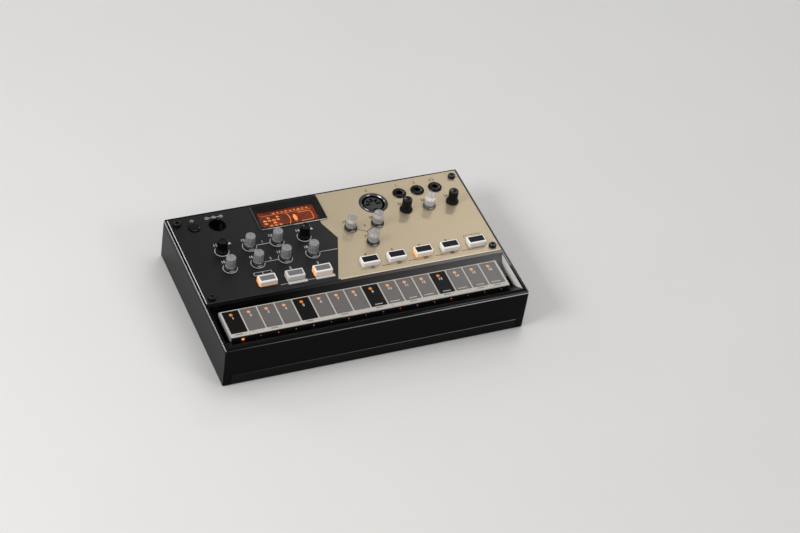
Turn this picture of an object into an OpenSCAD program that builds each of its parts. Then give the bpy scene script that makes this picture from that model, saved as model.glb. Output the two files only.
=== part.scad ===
// Desktop drum machine: knobs, keys, a display, a touch strip in a moulded trough, batteries below.
// Millimetres, +Z up, +Y to the back. The origin is on the table under the middle of the case.

/* [Case] */
// Overall width of the case at its rim
case_w = 193; // [192:0.5:200]
// Overall depth of the case at its rim
case_d = 115; // [114:0.5:122]
// Height of the case body from its underside to the rim
body_h = 28.7; // [28.7:0.1:33]
// Lean of each outer wall between the rim and the underside
wall_draft = 0.4; // [0:0.1:0.8]
// Thickness of the outer walls at the rim
wall = 2.2; // [2:0.1:2.6]
// Thickness of the deck under the face panel
deck_t = 2; // [1.6:0.1:2.1]
// Radius of the upright outer corners
corner_r = 1.6; // [1:0.1:3]
// Bevel along the rim
rim_bevel = 0.5; // [0.2:0.1:0.8]
// Height of the front and back strips of the bottom cover
strip_h = 7.3; // [5:0.1:9]
// Distance from the case's side to the end of those strips
strip_inset = 5.5; // [4.5:0.1:9]
// Visible gap between the two case mouldings
parting_gap = 0.15; // [0.1:0.05:0.3]

/* [Face panel] */
// Thickness of the face panel
panel_t = 1.5; // [1:0.1:1.6]
// Height of the panel's face above the rim
panel_proud = 0.6; // [0.3:0.1:0.9]
// Distance from the case's outline to the panel's back and side edges
panel_inset = 1.75; // [1.5:0.05:2]
// Distance from the case's front to the panel's front edge
panel_front = 39.1; // [38.8:0.1:39.4]
// Bevel along the panel's edges
panel_bevel = 0.35; // [0.1:0.05:0.5]
// Thickness of the gold ink on the right half
ink_t = 0.05; // [0.03:0.01:0.1]

/* [Trough and touch strip] */
// Depth of the trough below the rim
trough_depth = 9; // [8.4:0.1:9.2]
// Width of the flat front rim
front_rim = 3.8; // [3:0.1:4.2]
// Length of the ramp behind the front rim, front to back
ramp_run = 12.7; // [12:0.1:13]
// Length of the trough's flat floor
floor_run = 10.8; // [10:0.1:11]
// Radius of the cove at the back of the trough
cove_r = 9.5; // [9.3:0.1:9.8]
// Wall thickness under the trough
trough_wall = 2; // [1.6:0.1:2]
// Thickness of the silver cheek at each end of the trough
cheek_t = 0.8; // [0.5:0.1:0.9]
// Distance from the rim down to a cheek's top edge
cheek_drop = 1.1; // [0.5:0.1:2]
// Number of touch pads
pads = 16; // [8:1:16]
// Gap between the touch plate's end and the end wall of the trough
touch_side = 5.1; // [4:0.1:8]
// Border of the touch plate beyond the end pads
pad_border = 1.2; // [0.8:0.1:1.5]
// Thickness of the clear touch plate
touch_t = 2.8; // [2.6:0.1:3.1]
// Depth of the touch plate's top below the rim
touch_sink = 2.9; // [2.8:0.05:3]
// Distance from the trough's back wall to the touch plate
touch_gap = 2.4; // [2.4:0.1:3]
// Front-to-back size of the touch plate
touch_d = 22.4; // [21.6:0.1:22.4]
// Distance from the plate's back edge to its row of lamps
lamp_inset = 4.05; // [3.6:0.05:5]

/* [Knobs] */
// Height of a knob above the panel
knob_h = 9.1; // [8:0.1:11]
// Radius of a knob's grip
grip_r = 3; // [2.8:0.05:3.4]
// Radius of a knob's skirt
skirt_r = 4; // [3.7:0.05:4.4]
// Radius of the shaft below a knob
shaft_r = 2; // [1.6:0.05:2.2]
// Running clearance of a shaft in its bush, on the radius
shaft_gap = 0.05; // [0.03:0.01:0.08]
// Rounding of a knob's top edge
top_round = 0.6; // [0.3:0.05:0.8]
// Flutes round a grip
flutes = 16; // [8:2:20]
// Radius of a potentiometer's bush
bush_r = 3; // [2.8:0.05:3.2]
// Height of a potentiometer's body
pot_h = 6; // [5.5:0.1:6]
// Knob columns of the left group: distance of the first from the panel's left edge
left_first = 23.25; // [20:0.25:24]
// Distance between the left group's last column and the right group's first key
column_gap = 30.39; // [28:0.01:34]
// Place of the front knob row between the key row (0) and the display (1)
front_row_part = 0.385; // [0.36:0.005:0.4]
// Place of the back knob row between the key row (0) and the display (1)
back_row_part = 0.742; // [0.73:0.002:0.76]
// Distance of the top right row of knobs from the row of 3.5 mm sockets
top_row = 14.9; // [14:0.1:15.5]
// Distance of the rightmost knob from the panel's right edge
right_first = 12.95; // [12:0.05:14]
// Distance between the top right knobs
right_pitch = 15.55; // [14.5:0.05:15.8]
// Distance of the three wave knobs' middle from the panel's right edge
wave_inset = 74.65; // [73.5:0.05:75.5]
// Distance between the two back wave knobs
wave_pitch = 17.6; // [16:0.1:18]

/* [Keys] */
// Width of a key cap
key_w = 11.4; // [11:0.1:12.4]
// Front-to-back size of a key cap
key_d = 6.6; // [6:0.1:7]
// Height of a key cap above the panel
key_rise = 3.3; // [2.5:0.1:4]
// Travel of a key
key_travel = 0.8; // [0.4:0.1:1]
// Gap round a key in its opening
key_gap = 0.3; // [0.3:0.05:0.4]
// Distance of the key row from the panel's front edge
key_row = 9.2; // [8.5:0.1:10]
// Number of keys in the left group
left_keys = 3; // [1:1:3]
// Number of keys in the right group
right_keys = 5; // [1:1:5]
// Distance of the rightmost key from the panel's right edge
key_first = 13.35; // [12.6:0.05:14]
// Size of the printed field on a left key
left_field = [9.1, 4.1];
// Size of the printed field on a right key
right_field = [9.8, 4.6];
// Radius of the round power button
power_r = 3.7; // [3.5:0.1:4.4]
// Travel of the power button
power_travel = 1.2; // [0.6:0.1:1.5]

/* [Display] */
// Width of the display bezel
bezel_w = 43.7; // [42:0.1:44]
// Front-to-back size of the display bezel
bezel_d = 21.6; // [20:0.1:21.6]
// Height of the bezel's lip above the panel
bezel_rise = 1; // [0.6:0.1:1.4]
// Distance of the bezel's left edge from the panel's left edge
bezel_left = 51.7; // [51:0.1:52]
// Distance of the bezel's back edge from the panel's back edge
bezel_back = 1.55; // [1.5:0.05:1.8]
// Width of the visible window
window_w = 35.8; // [34:0.1:36]
// Front-to-back size of the visible window
window_d = 13.8; // [13:0.1:14]
// Width of the bezel's flat lip
bezel_lip = 1.5; // [1.2:0.1:1.8]
// Thickness of the clear window pane
pane_t = 0.8; // [0.6:0.1:1]
// Depth of the display glass below the panel's face
glass_sink = 3; // [2.9:0.1:3.2]

/* [Sockets] */
// Radius of the bore of a 3.5 mm socket
jack_bore_r = 1.8; // [1.75:0.05:1.85]
// Depth of that bore from the collar's top
jack_depth = 14; // [12:0.5:14.5]
// Radius of a socket's domed collar
jack_collar_r = 4.35; // [4:0.05:4.6]
// Height of a collar above the panel
jack_rise = 1.4; // [1:0.1:1.8]
// Distance between the 3.5 mm sockets
jack_pitch = 12; // [11.4:0.1:12.1]
// Distance of the rightmost socket from the panel's right edge
jack_first = 18.45; // [18:0.05:20]
// Distance of the 3.5 mm sockets from the panel's back edge
jack_row = 11.95; // [11:0.05:12.5]
// Radius of the note input socket's housing
midi_r = 9; // [8.8:0.05:9.2]
// Distance of that socket from the panel's right edge
midi_inset = 61.55; // [61:0.05:62]
// Distance of that socket from the panel's back edge
midi_row = 16.25; // [15.5:0.05:16.5]
// Radius of the power socket's housing
dc_r = 5.4; // [5:0.05:5.6]
// Distance of the power socket from the panel's left edge
dc_inset = 28.25; // [28:0.05:28.6]
// Distance of the power socket from the panel's back edge
dc_row = 11.45; // [11:0.05:12]
// Distance of the power button from the panel's left edge
power_inset = 13.85; // [13.4:0.05:14]
// Distance of the power button from the panel's back edge
power_row = 10.45; // [10:0.05:11]

/* [Batteries and bottom] */
// Number of AA cells side by side
cells = 6; // [4:1:6]
// Diameter of an AA cell
cell_d = 14.5; // [14.2:0.1:14.5]
// Length of an AA cell
cell_len = 50.5; // [49.5:0.1:50.5]
// Distance from cell to cell
cell_pitch = 14.9; // [14.8:0.1:15]
// Room for the contacts at each end of the cells
contact_room = 3.2; // [3:0.1:3.6]
// Thickness of the bottom cover's floor
floor_t = 2; // [1.8:0.1:2.2]
// Thickness of the battery door
door_t = 1.8; // [1.6:0.1:1.9]
// Gap round the battery door
door_gap = 0.3; // [0.3:0.05:0.4]
// Largest angle that the door opens to
door_swing = 80; // [60:5:85]
// Distance from the case's back to the middle of the battery bay
bay_back = 47.5; // [46:0.5:48.5]
// Radius of a rubber foot
foot_r = 6; // [5:0.1:7]
// Height of the case's underside above the table
foot_h = 0.6; // [0.4:0.1:1.5]
// Distance from the case's side to a foot's middle
foot_side = 18.5; // [17:0.5:20]
// Distance from the case's front or back to a foot's middle
foot_end = 11.5; // [10:0.5:13]
// Radius of the loudspeaker
speaker_r = 20; // [18:0.5:20]
// Distance from the case's side to the loudspeaker's middle
speaker_side = 40.5; // [38:0.5:41]

/* [Fasteners] */
// Distance of a face screw from the panel's side edge
screw_side = 4.5; // [4.4:0.05:5.2]
// Distance of a back face screw from the panel's back edge
screw_back = 5.65; // [5:0.05:6]
// Distance of a front face screw from the panel's front edge
screw_front = 3.7; // [3.4:0.05:4]
// Radius of a face screw's head
head_r = 2.35; // [1.9:0.05:2.5]
// Height of a face screw's head
head_h = 2; // [1.6:0.1:2.4]
// Radius of a screw's shank
shank_r = 1.4; // [1.2:0.05:1.5]
// Radius of a screw boss
boss_r = 3.5; // [3.2:0.1:3.6]
// Distance from the case's side to a front bottom screw
boss_side = 34.5; // [32:0.5:40]
// Reach of a face screw below the deck's top
face_screw_reach = 9; // [7:0.5:10]
// Reach of a bottom screw above its pad
bottom_screw_reach = 8; // [6:0.5:9]
// Reach of a board screw above the board
board_screw_reach = 4.5; // [3:0.5:5]

/* [Hidden] */
$fn = 48;
slip = 0.05;                                    // gap of a part that is dropped into its seat
seat = 0.2;                                     // gap of a part that is carried elsewhere
close_gap = 0.15;                               // gap round a screw or a round housing in its hole
bush_gap = 0.3;                                 // gap round a potentiometer's bush in panel and deck
over = 1;                                       // how far a cut runs past the face that it opens

// Heights, from the table up
body_z = foot_h;
rim_z = body_z + body_h;
panel_top = rim_z + panel_proud;
panel_z = panel_top - panel_t;
deck_z = panel_z - deck_t;
pot_top = deck_z - seat;
board_t = 1.6;
board_top = pot_top - pot_h;
board_z = board_top - board_t;

// Plan of the face panel
panel_w = case_w - 2 * panel_inset;
panel_left = -panel_w / 2;
panel_right = panel_w / 2;
panel_back_y = case_d / 2 - panel_inset;
panel_front_y = panel_front - case_d / 2;
panel_d = panel_back_y - panel_front_y;
panel_mid_y = (panel_back_y + panel_front_y) / 2;

// Trough, in the plane across the case
ramp_top_y = front_rim - case_d / 2;
ramp_foot_y = ramp_top_y + ramp_run;
cove_y = ramp_foot_y + floor_run;
trough_back_y = cove_y + cove_r;
trough_floor = rim_z - trough_depth;
cove_z = trough_floor + cove_r;
ramp_angle = atan2(trough_depth, ramp_run);
trough_w = case_w - 2 * wall;

// Touch strip
touch_w = trough_w - 2 * touch_side;
pad_pitch = (touch_w - 2 * pad_border) / pads;
touch_top = rim_z - touch_sink;
touch_z = touch_top - touch_t;
touch_back_y = trough_back_y - touch_gap;
touch_front_y = touch_back_y - touch_d;
touch_mid_y = (touch_back_y + touch_front_y) / 2;
lamp_y = touch_back_y - lamp_inset;
touch_board_t = 1.6;
touch_board_z = touch_z - touch_board_t;
carrier_w = touch_w - 2;

// Knobs: name, x, y and whether the knob is clear
column_spaces = 7;                              // three between the left columns, four between the right keys
column_pitch = (panel_w - left_first - key_first - column_gap) / column_spaces;
function left_x(i) = panel_left + left_first + i * column_pitch;
key_y = panel_front_y + key_row;
bezel_y = panel_back_y - bezel_back - bezel_d / 2;
row_room = bezel_y - bezel_d / 2 - key_y;
front_row_y = key_y + front_row_part * row_room;
back_row_y = key_y + back_row_part * row_room;
jack_y = panel_back_y - jack_row;
top_row_y = jack_y - top_row;
function right_x(i) = panel_right - right_first - (2 - i) * right_pitch;
wave_x = panel_right - wave_inset;
KNOBS = [
    ["level", left_x(0), back_row_y, false],
    ["pan", left_x(0), front_row_y, true],
    ["amount", left_x(1), back_row_y, true],
    ["rate", left_x(2), back_row_y, true],
    ["select", left_x(3), back_row_y, false],
    ["attack", left_x(1), front_row_y, true],
    ["release", left_x(2), front_row_y, true],
    ["pitch", left_x(3), front_row_y, true],
    ["decay", wave_x - wave_pitch / 2, back_row_y, true],
    ["body", wave_x + wave_pitch / 2, back_row_y, true],
    ["tune", wave_x, front_row_y, true],
    ["swing", right_x(0), top_row_y, false],
    ["tempo", right_x(1), top_row_y, true],
    ["volume", right_x(2), top_row_y, false],
];
knob_top = panel_top + knob_h;
knob_z = panel_top + 0.3;                       // underside of the skirt
bush_top = panel_top - 0.3;
shaft_z = board_top + 1;                        // lower end of the shaft

// Keys: name, x and printed field
KEYS = [
    for (i = [0:1:left_keys - 1]) [str("left_key_", i + 1), left_x(i + 1), left_field],
    for (i = [0:1:right_keys - 1])
        [str("right_key_", i + 1), panel_right - key_first - (right_keys - 1 - i) * column_pitch, right_field],
];
cap_top = panel_top + key_rise;
cap_edge_r = 0.9;
flange = 0.7;                                   // how far the flange under the deck stands out
flange_t = 0.8;
flange_top = deck_z - 0.3;
stem_r = 1.5;
stem_gap = 0.08;
switch_top = board_top + 3.5;
switch_w = 6.2;
stem_z = switch_top - 1.5;                      // lower end of a key's stem
power_x = panel_left + power_inset;
power_y = panel_back_y - power_row;
power_rise = 0.9;

// Display
bezel_x = panel_left + bezel_left + bezel_w / 2;
glass_top = panel_top - glass_sink;
pane_z = glass_top + 0.1;
bezel_skirt = 1.1;                              // how far the lip stands past the bezel's body
bezel_body = [bezel_w - 2 * bezel_skirt, bezel_d - 2 * bezel_skirt];

// Sockets
function jack_x(i) = panel_right - jack_first - (2 - i) * jack_pitch;
JACKS = ["sync_in_socket", "sync_out_socket", "headphone_socket"];
jack_top = panel_top + jack_rise;
jack_nose_r = 3;
jack_tail_r = 3.1;
midi_x = panel_right - midi_inset;
midi_y = panel_back_y - midi_row;
midi_shell_r = midi_r - 1.05;
midi_gap_r = midi_shell_r - 0.9;                // outer radius of the plug's ring-shaped gap
midi_core_r = midi_gap_r - 1.35;
midi_pin_r = midi_core_r * 0.6;                 // circle that the contacts lie on
midi_floor = board_top + 2;
dc_x = panel_left + dc_inset;
dc_y = panel_back_y - dc_row;
dc_recess_r = dc_r - 0.35;
dc_recess_z = panel_top - 5.2;
dc_plug_r = 2.9;

// Screws and bosses
SCREW_XY = [
    for (s = [-1, 1], back = [0, 1])
        [s * (panel_right - screw_side), back ? panel_back_y - screw_back : panel_front_y + screw_front]
];
FRONT_BOSS_XY = [for (s = [-1, 1]) [s * (case_w / 2 - boss_side), ramp_top_y + boss_r - 0.8]];
STANDOFF_XY = [
    [(panel_left + left_x(0)) / 2, (front_row_y + back_row_y) / 2],
    [(dc_x + dc_r + bezel_x - bezel_w / 2) / 2, dc_y],
    [(bezel_x + bezel_w / 2 + midi_x - midi_r) / 2, dc_y],
    [(wave_x + right_x(2)) / 2, front_row_y],
];
standoff_r = 2.5;
thread_gap = 0.05;
screw_spare = 1;                                // how far a screw hole runs past its screw
pad_top = body_z + floor_t + 2;                 // top of the screw pads in the bottom cover

// Battery bay
bay_w = cells * cell_pitch + 0.6;
bay_d = cell_len + 2 * contact_room;
bay_x = -24;
bay_y = case_d / 2 - bay_back;
bay_wall = 1.4;
cell_z = body_z + door_t + seat + cell_d / 2;
bay_top = cell_z + cell_d / 2 + 0.1;
bay_roof = 1;
hinge_y = bay_y + bay_d / 2 - door_gap - door_t / 2;
hinge_z = body_z + door_t / 2;
hinge_pin_r = 0.5;
hinge_pin_len = 1.2;
door_half = bay_w / 2 - door_gap;

// Loudspeaker
speaker_x = case_w / 2 - speaker_side;
speaker_y = bay_y - 6;
speaker_z = body_z + floor_t + 0.8;
speaker_h = 11.5;

// Feet
FOOT_XY = [for (sx = [-1, 1], sy = [-1, 1]) [sx * (case_w / 2 - foot_side), sy * (case_d / 2 - foot_end)]];
foot_sink = 0.6;

// ---- Shapes used by several parts ----

// An outline in the plane across the case (y, z), drawn out along X
module along_x(length) rotate([90, 0, 90]) linear_extrude(length, center = true) children();

// An outline in the plane along the case (x, z), drawn out along Y
module along_y(length) rotate([90, 0, 0]) linear_extrude(length, center = true) children();

// A rectangle with round corners, about the origin
module rounded_rect(size, r) {
    square([size.x - 2 * r, size.y], center = true);
    square([size.x, size.y - 2 * r], center = true);
    for (x = [-1, 1], y = [-1, 1])
        translate([x * (size.x / 2 - r), y * (size.y / 2 - r)])
            circle(r);
}

// A block with round upright edges between two heights
module block(size, z0, z1, r = 0.5) {
    translate([0, 0, z0])
        linear_extrude(z1 - z0)
            rounded_rect(size, r);
}

// A cylinder between two heights
module post(r, z0, z1) translate([0, 0, z0]) cylinder(r = r, h = z1 - z0);

// A flat plate with a bevel along its upper edges
module bevelled_plate(size, z0, z1, bevel, r) {
    function side(w) = [
        [-w / 2, z0], [w / 2, z0], [w / 2, z1 - bevel], [w / 2 - bevel, z1],
        [-w / 2 + bevel, z1], [-w / 2, z1 - bevel]
    ];
    intersection() {
        along_y(size.y + 2) polygon(side(size.x));
        along_x(size.x + 2) polygon(side(size.y));
        block(size, z0 - over, z1 + over, r);
    }
}

// A two-dimensional outline with a flat foot and two round shoulders
module shouldered(w, z0, z1, r) {
    translate([-w / 2, z0]) square([w, z1 - z0 - r]);
    translate([-w / 2 + r, z0]) square([w - 2 * r, z1 - z0]);
    for (s = [-1, 1])
        translate([s * (w / 2 - r), z1 - r])
            circle(r);
}

module at(xy) translate([xy.x, xy.y, 0]) children();

// ---- Case ----

function wall_outline(w) = [
    [-w / 2 + wall_draft, body_z], [w / 2 - wall_draft, body_z], [w / 2, rim_z - rim_bevel],
    [w / 2 - rim_bevel, rim_z], [-w / 2 + rim_bevel, rim_z], [-w / 2, rim_z - rim_bevel]
];

// The outer form of the case, with its leaning walls
module case_form() {
    intersection() {
        along_y(case_d + 2) polygon(wall_outline(case_w));
        along_x(case_w + 2) polygon(wall_outline(case_d));
        block([case_w, case_d], body_z - over, rim_z + over, corner_r);
    }
}

// The trough's outline across the case, grown outwards by g; end_y is where its ramp stops
module trough_outline(g, end_y) {
    foot = ramp_foot_y - g * tan(ramp_angle / 2);
    r = cove_r + g;
    difference() {
        polygon([
            [cove_y + r, rim_z + 5],
            [cove_y + r, trough_floor - g],
            [foot, trough_floor - g],
            [end_y, trough_floor - g + (foot - end_y) * tan(ramp_angle)],
            [end_y, rim_z + 5]
        ]);
        // The corner that the cove rounds off
        translate([cove_y, cove_z]) difference() {
            translate([0, -r - over]) square(r + over);
            circle(r, $fn = 96);
        }
    }
}

// The end of the trough up to the top of its cheek, less a gap all round
module cheek_outline(gap) {
    intersection() {
        trough_outline(-gap, ramp_top_y);
        translate([-case_d / 2, body_z])
            square([case_d, rim_z - cheek_drop - gap - body_z]);
    }
}

// What is cut from both the panel and the deck
module face_openings(z0, z1) {
    for (k = KNOBS) at([k[1], k[2]]) post(bush_r + bush_gap, z0, z1);
    for (k = KEYS)
        at([k[1], key_y]) block([key_w + 2 * key_gap, key_d + 2 * key_gap], z0, z1, 1.2);
    for (i = [0:2]) at([jack_x(i), jack_y]) post(jack_nose_r + seat, z0, z1);
    at([midi_x, midi_y]) post(midi_r + close_gap, z0, z1);
    at([dc_x, dc_y]) post(dc_r + seat, z0, z1);
    at([power_x, power_y]) post(power_r + 0.25, z0, z1);
    for (p = SCREW_XY) at(p) post(shank_r + close_gap, z0, z1);
    at([bezel_x, bezel_y]) block(bezel_body + [2 * seat, 2 * seat], z0, z1, 1);
}

module upper_case() {
    inner_w = case_w - 2 * (wall + wall_draft);
    inner_d = case_d - 2 * (wall + wall_draft);
    color("#17171a") difference() {
        union() {
            difference() {
                case_form();
                block([inner_w, inner_d], body_z - over, deck_z, 1);
            }
            intersection() {
                case_form();
                along_x(inner_w + wall) trough_outline(trough_wall, -case_d / 2);
            }
            for (p = SCREW_XY) at(p) post(boss_r, pad_top + parting_gap, deck_z + over);
            for (p = FRONT_BOSS_XY) at(p) post(boss_r, pad_top + parting_gap, deck_z);
            for (p = STANDOFF_XY) at(p) post(standoff_r, board_top, deck_z + over);
        }
        along_x(trough_w) trough_outline(0, ramp_top_y);
        along_x(trough_w + 2 * cheek_t) cheek_outline(0);
        translate([0, panel_mid_y, 0])
            block([panel_w + 2 * slip, panel_d + 2 * slip], panel_z, rim_z + over, 0.6);
        face_openings(deck_z - over, panel_z + over);
        for (p = SCREW_XY) at(p) {
            post(shank_r + thread_gap, panel_z - face_screw_reach - screw_spare, panel_z + over);
            post(shank_r + thread_gap, body_z, pad_top + bottom_screw_reach + screw_spare);
        }
        for (p = FRONT_BOSS_XY) at(p)
            post(shank_r + thread_gap, body_z, pad_top + bottom_screw_reach + screw_spare);
        for (p = STANDOFF_XY) at(p)
            post(standoff_r / 2 + thread_gap, board_top - over, board_top + board_screw_reach + screw_spare / 2);
        for (k = KEYS) at([k[1], key_y])
            block([key_w + 2 * (flange + key_gap), key_d + 2 * (flange + key_gap)],
                  flange_top - flange_t - key_travel - key_gap, deck_z, 1.2);
        for (s = [-1, 1])
            translate([0, s * case_d / 2, 0])
                block([case_w - 2 * (strip_inset - parting_gap), 2 * (wall + wall_draft + parting_gap)],
                      body_z - over, body_z + strip_h + parting_gap, 0.3);
    }
}

// Where the bottom cover's floor has slots in front of the loudspeaker
module speaker_slots() {
    slots = 9;
    slot_w = 1.8;
    pitch = round(speaker_r * 20 / slots) / 10 - 0.6;
    for (i = [0:slots - 1]) {
        x = (i - (slots - 1) / 2) * pitch;
        length = 2 * round(sqrt(pow(speaker_r - 3, 2) - x * x) - 0.5);
        translate([x, 0, 0]) block([slot_w, length], body_z - over, body_z + floor_t + 0.1, slot_w / 3);
    }
}

module bottom_cover() {
    side_w = case_w - 2 * (wall + wall_draft + parting_gap);
    side_d = case_d - 2 * (wall + wall_draft + parting_gap);
    strip_w = case_w - 2 * strip_inset;
    color("#1b1b1d") difference() {
        union() {
            intersection() {
                case_form();
                union() {
                    block([side_w, side_d], body_z - over, body_z + floor_t, 1);
                    block([strip_w, case_d + 2], body_z - over, body_z + floor_t, 0.3);
                    for (s = [-1, 1])
                        translate([0, s * (case_d - wall) / 2, 0])
                            block([strip_w, wall + 2 * wall_draft], body_z, body_z + strip_h, 0.3);
                }
            }
            translate([bay_x, bay_y, 0])
                block([bay_w + 2 * bay_wall, bay_d + 2 * bay_wall], body_z + floor_t - slip,
                      bay_top + bay_roof, 1.5);
            for (p = concat(SCREW_XY, FRONT_BOSS_XY)) at(p) post(boss_r, body_z, pad_top);
            at([speaker_x, speaker_y]) post(speaker_r + 1.6, body_z, speaker_z + 1.4);
        }
        translate([bay_x, bay_y, 0])
            block([bay_w, bay_d], body_z - over, bay_top, 0.6);
        translate([bay_x, hinge_y, hinge_z])
            rotate([0, 90, 0])
                cylinder(r = hinge_pin_r + shaft_gap, h = 2 * (door_half + hinge_pin_len + seat), center = true);
        for (p = concat(SCREW_XY, FRONT_BOSS_XY)) at(p) {
            post(shank_r + close_gap, body_z - over, pad_top + over);
            post(shank_r + 1.4, body_z - over, body_z + floor_t);
        }
        for (p = FOOT_XY) at(p) post(foot_r + 0.1, body_z - over, body_z + foot_sink);
        at([speaker_x, speaker_y]) {
            post(speaker_r + 0.2, speaker_z, speaker_z + 2);
            post(speaker_r - 2.4, body_z + floor_t, speaker_z + 2);
            speaker_slots();
        }
    }
}

// One end wall of the trough, lined with a silver cheek
module cheek(s) {
    color("#c9c7c2")
        translate([s * (trough_w + cheek_t) / 2, 0, 0])
            along_x(cheek_t) cheek_outline(slip);
}

// ---- Face ----

// The right-hand part of the panel is gold; the black part ends in a chevron
module gold_outline() {
    right = panel_right - panel_bevel;
    back = panel_back_y - panel_bevel;
    front = panel_front_y + panel_bevel;
    tip_x = bezel_x + bezel_w / 2;
    notch = 5.25;
    slant = 12.65;
    shoulder_y = bezel_y - bezel_d / 2 - 2.4;
    polygon([
        [tip_x, back], [tip_x, bezel_y], [tip_x - notch, bezel_y],
        [tip_x - notch, shoulder_y], [tip_x, shoulder_y - 14.3],
        [tip_x - slant, front], [right, front], [right, back]
    ]);
}

module face_panel() {
    difference() {
        union() {
            color("#2a2a2c")
                translate([0, panel_mid_y, 0])
                    bevelled_plate([panel_w, panel_d], panel_z, panel_top, panel_bevel, 0.8);
            color("#c2ae86")
                translate([0, 0, panel_top - ink_t])
                    linear_extrude(2 * ink_t)
                        gold_outline();
        }
        face_openings(panel_z - over, panel_top + over);
    }
}

module display_bezel() {
    lip_z = panel_top + bezel_rise;
    mouth = [bezel_w - 2 * bezel_lip, bezel_d - 2 * bezel_lip];
    pane_top = pane_z + pane_t;
    function funnel(foot, top) = [
        [-foot / 2, pane_top - slip], [foot / 2, pane_top - slip], [foot / 2, pane_top],
        [top / 2, lip_z], [top / 2, lip_z + over], [-top / 2, lip_z + over], [-top / 2, lip_z],
        [-foot / 2, pane_top]
    ];
    color("#0b0b0c") at([bezel_x, bezel_y]) difference() {
        union() {
            bevelled_plate([bezel_w, bezel_d], panel_top + 2 * ink_t, lip_z, 0.4, 1.6);
            block(bezel_body, pane_z, panel_top + 0.5, 0.8);
        }
        intersection() {
            along_y(bezel_d) polygon(funnel(window_w, mouth.x));
            along_x(bezel_w) polygon(funnel(window_d, mouth.y));
        }
        block([window_w + 3, window_d + 3], pane_z - over, pane_top, 0.5);
    }
}

module display_window() {
    color("#8a4a2a", 0.5)
        at([bezel_x, bezel_y])
            block([window_w + 3 - 2 * slip, window_d + 3 - 2 * slip], pane_z, pane_z + pane_t - slip, 0.4);
}

// Display glass on its lamp housing
module display_module() {
    glass_t = 1.8;
    color("#7a2c10") at([bezel_x, bezel_y]) {
        block([window_w + 2.4, window_d + 2.4], glass_top - glass_t, glass_top, 0.4);
        block([bezel_body.x - 1, bezel_body.y - 1], board_top, glass_top - glass_t, 0.6);
    }
}

module face_screws() {
    color("#101012") for (p = SCREW_XY) at(p) difference() {
        union() {
            translate([0, 0, panel_top + 2 * ink_t])
                rotate_extrude()
                    polygon([
                        [0, 0], [head_r, 0], [head_r, head_h - 0.7], [head_r - 0.15, head_h - 0.3],
                        [head_r - 0.45, head_h], [0, head_h]
                    ]);
            post(shank_r, panel_z - face_screw_reach, panel_top + 0.5);
        }
        translate([0, 0, panel_top + head_h - 1]) cylinder(r = 1.15, h = 3, $fn = 6);
    }
}

// ---- Touch strip ----

module touch_plate() {
    color("#8b8784") difference() {
        translate([0, touch_mid_y, 0])
            bevelled_plate([touch_w, touch_d], touch_z, touch_top, 0.25, 0.8);
        for (i = [0:pads - 1]) at([lamp_x(i), lamp_y]) post(1.2, touch_z - over, touch_z + 1.2);
    }
}

function lamp_x(i) = (i - (pads - 1) / 2) * pad_pitch - 0.25;

module touch_board() {
    back_y = cove_y + sqrt(pow(cove_r, 2) - pow(cove_z - touch_board_z, 2)) - 0.2;
    front_y = ramp_foot_y - (touch_board_z - trough_floor) / tan(ramp_angle) + 0.3;
    depth = floor(back_y - front_y);
    color("#1f4a33")
        translate([0, front_y + depth / 2, touch_board_z + touch_board_t / 2])
            cube([carrier_w, depth, touch_board_t], center = true);
}

// Moulded carrier that fits the trough's floor and holds the touch board level
module touch_carrier() {
    bays = pads / 2;
    bay_pitch = carrier_w / bays;
    color("#202022") difference() {
        along_x(carrier_w) intersection() {
            trough_outline(-slip, ramp_top_y);
            translate([ramp_top_y, trough_floor - 1])
                square([trough_back_y - ramp_top_y, touch_board_z - trough_floor + 1]);
        }
        for (i = [0:bays - 1])
            translate([(i - (bays - 1) / 2) * bay_pitch, cove_y - floor_run / 2, 0])
                block([bay_pitch - 3, floor_run - 3], trough_floor + 0.6, touch_board_z + over, 0.8);
    }
}

module step_lamps() {
    color("#ff8a3a")
        for (i = [0:pads - 1])
            translate([lamp_x(i) - 0.8, lamp_y - 0.4, touch_z])
                cube([1.6, 0.8, 0.7]);
}

// ---- Knobs and keys ----

module knob(k) {
    waist_z = knob_z + 2.8;
    neck_r = grip_r + 0.1;
    function rounded(a) = [grip_r - top_round * (1 - cos(a)), knob_top - top_round * (1 - sin(a))];
    color(k[3] ? "#b9b9bb" : "#141416") at([k[1], k[2]]) difference() {
        rotate_extrude()
            polygon([
                [0, shaft_z], [shaft_r, shaft_z], [shaft_r, knob_z],
                [skirt_r - 0.2, knob_z], [skirt_r, knob_z + 0.2], [skirt_r, knob_z + 0.8],
                [skirt_r - 0.15, knob_z + 1.2], [neck_r + 0.25, waist_z - 0.9], [neck_r, waist_z - 0.3],
                [grip_r, waist_z], rounded(0), rounded(30), rounded(60), rounded(90), [0, knob_top - 0.15]
            ]);
        for (i = [0:flutes - 1])
            rotate([0, 0, (i + 0.5) * 360 / flutes])
                translate([grip_r + 0.15, 0, 0])
                    post(0.32, waist_z + 0.3, knob_top - top_round - 0.3);
        // Pointer: a notch in the skirt and a groove across the top
        translate([-0.35, skirt_r - 0.7, knob_z + 0.4]) cube([0.7, 1, 3]);
        translate([-0.25, 0, knob_top - 0.45]) cube([0.5, grip_r + 1, 1]);
    }
}

module potentiometers() {
    color("#3a4a55") for (k = KNOBS) at([k[1], k[2]]) difference() {
        union() {
            block([9.4, 10.4], board_top, pot_top, 0.6);
            post(bush_r, pot_top - 0.5, bush_top);
        }
        post(shaft_r + shaft_gap, shaft_z - 0.3, bush_top + over);
    }
}

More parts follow.
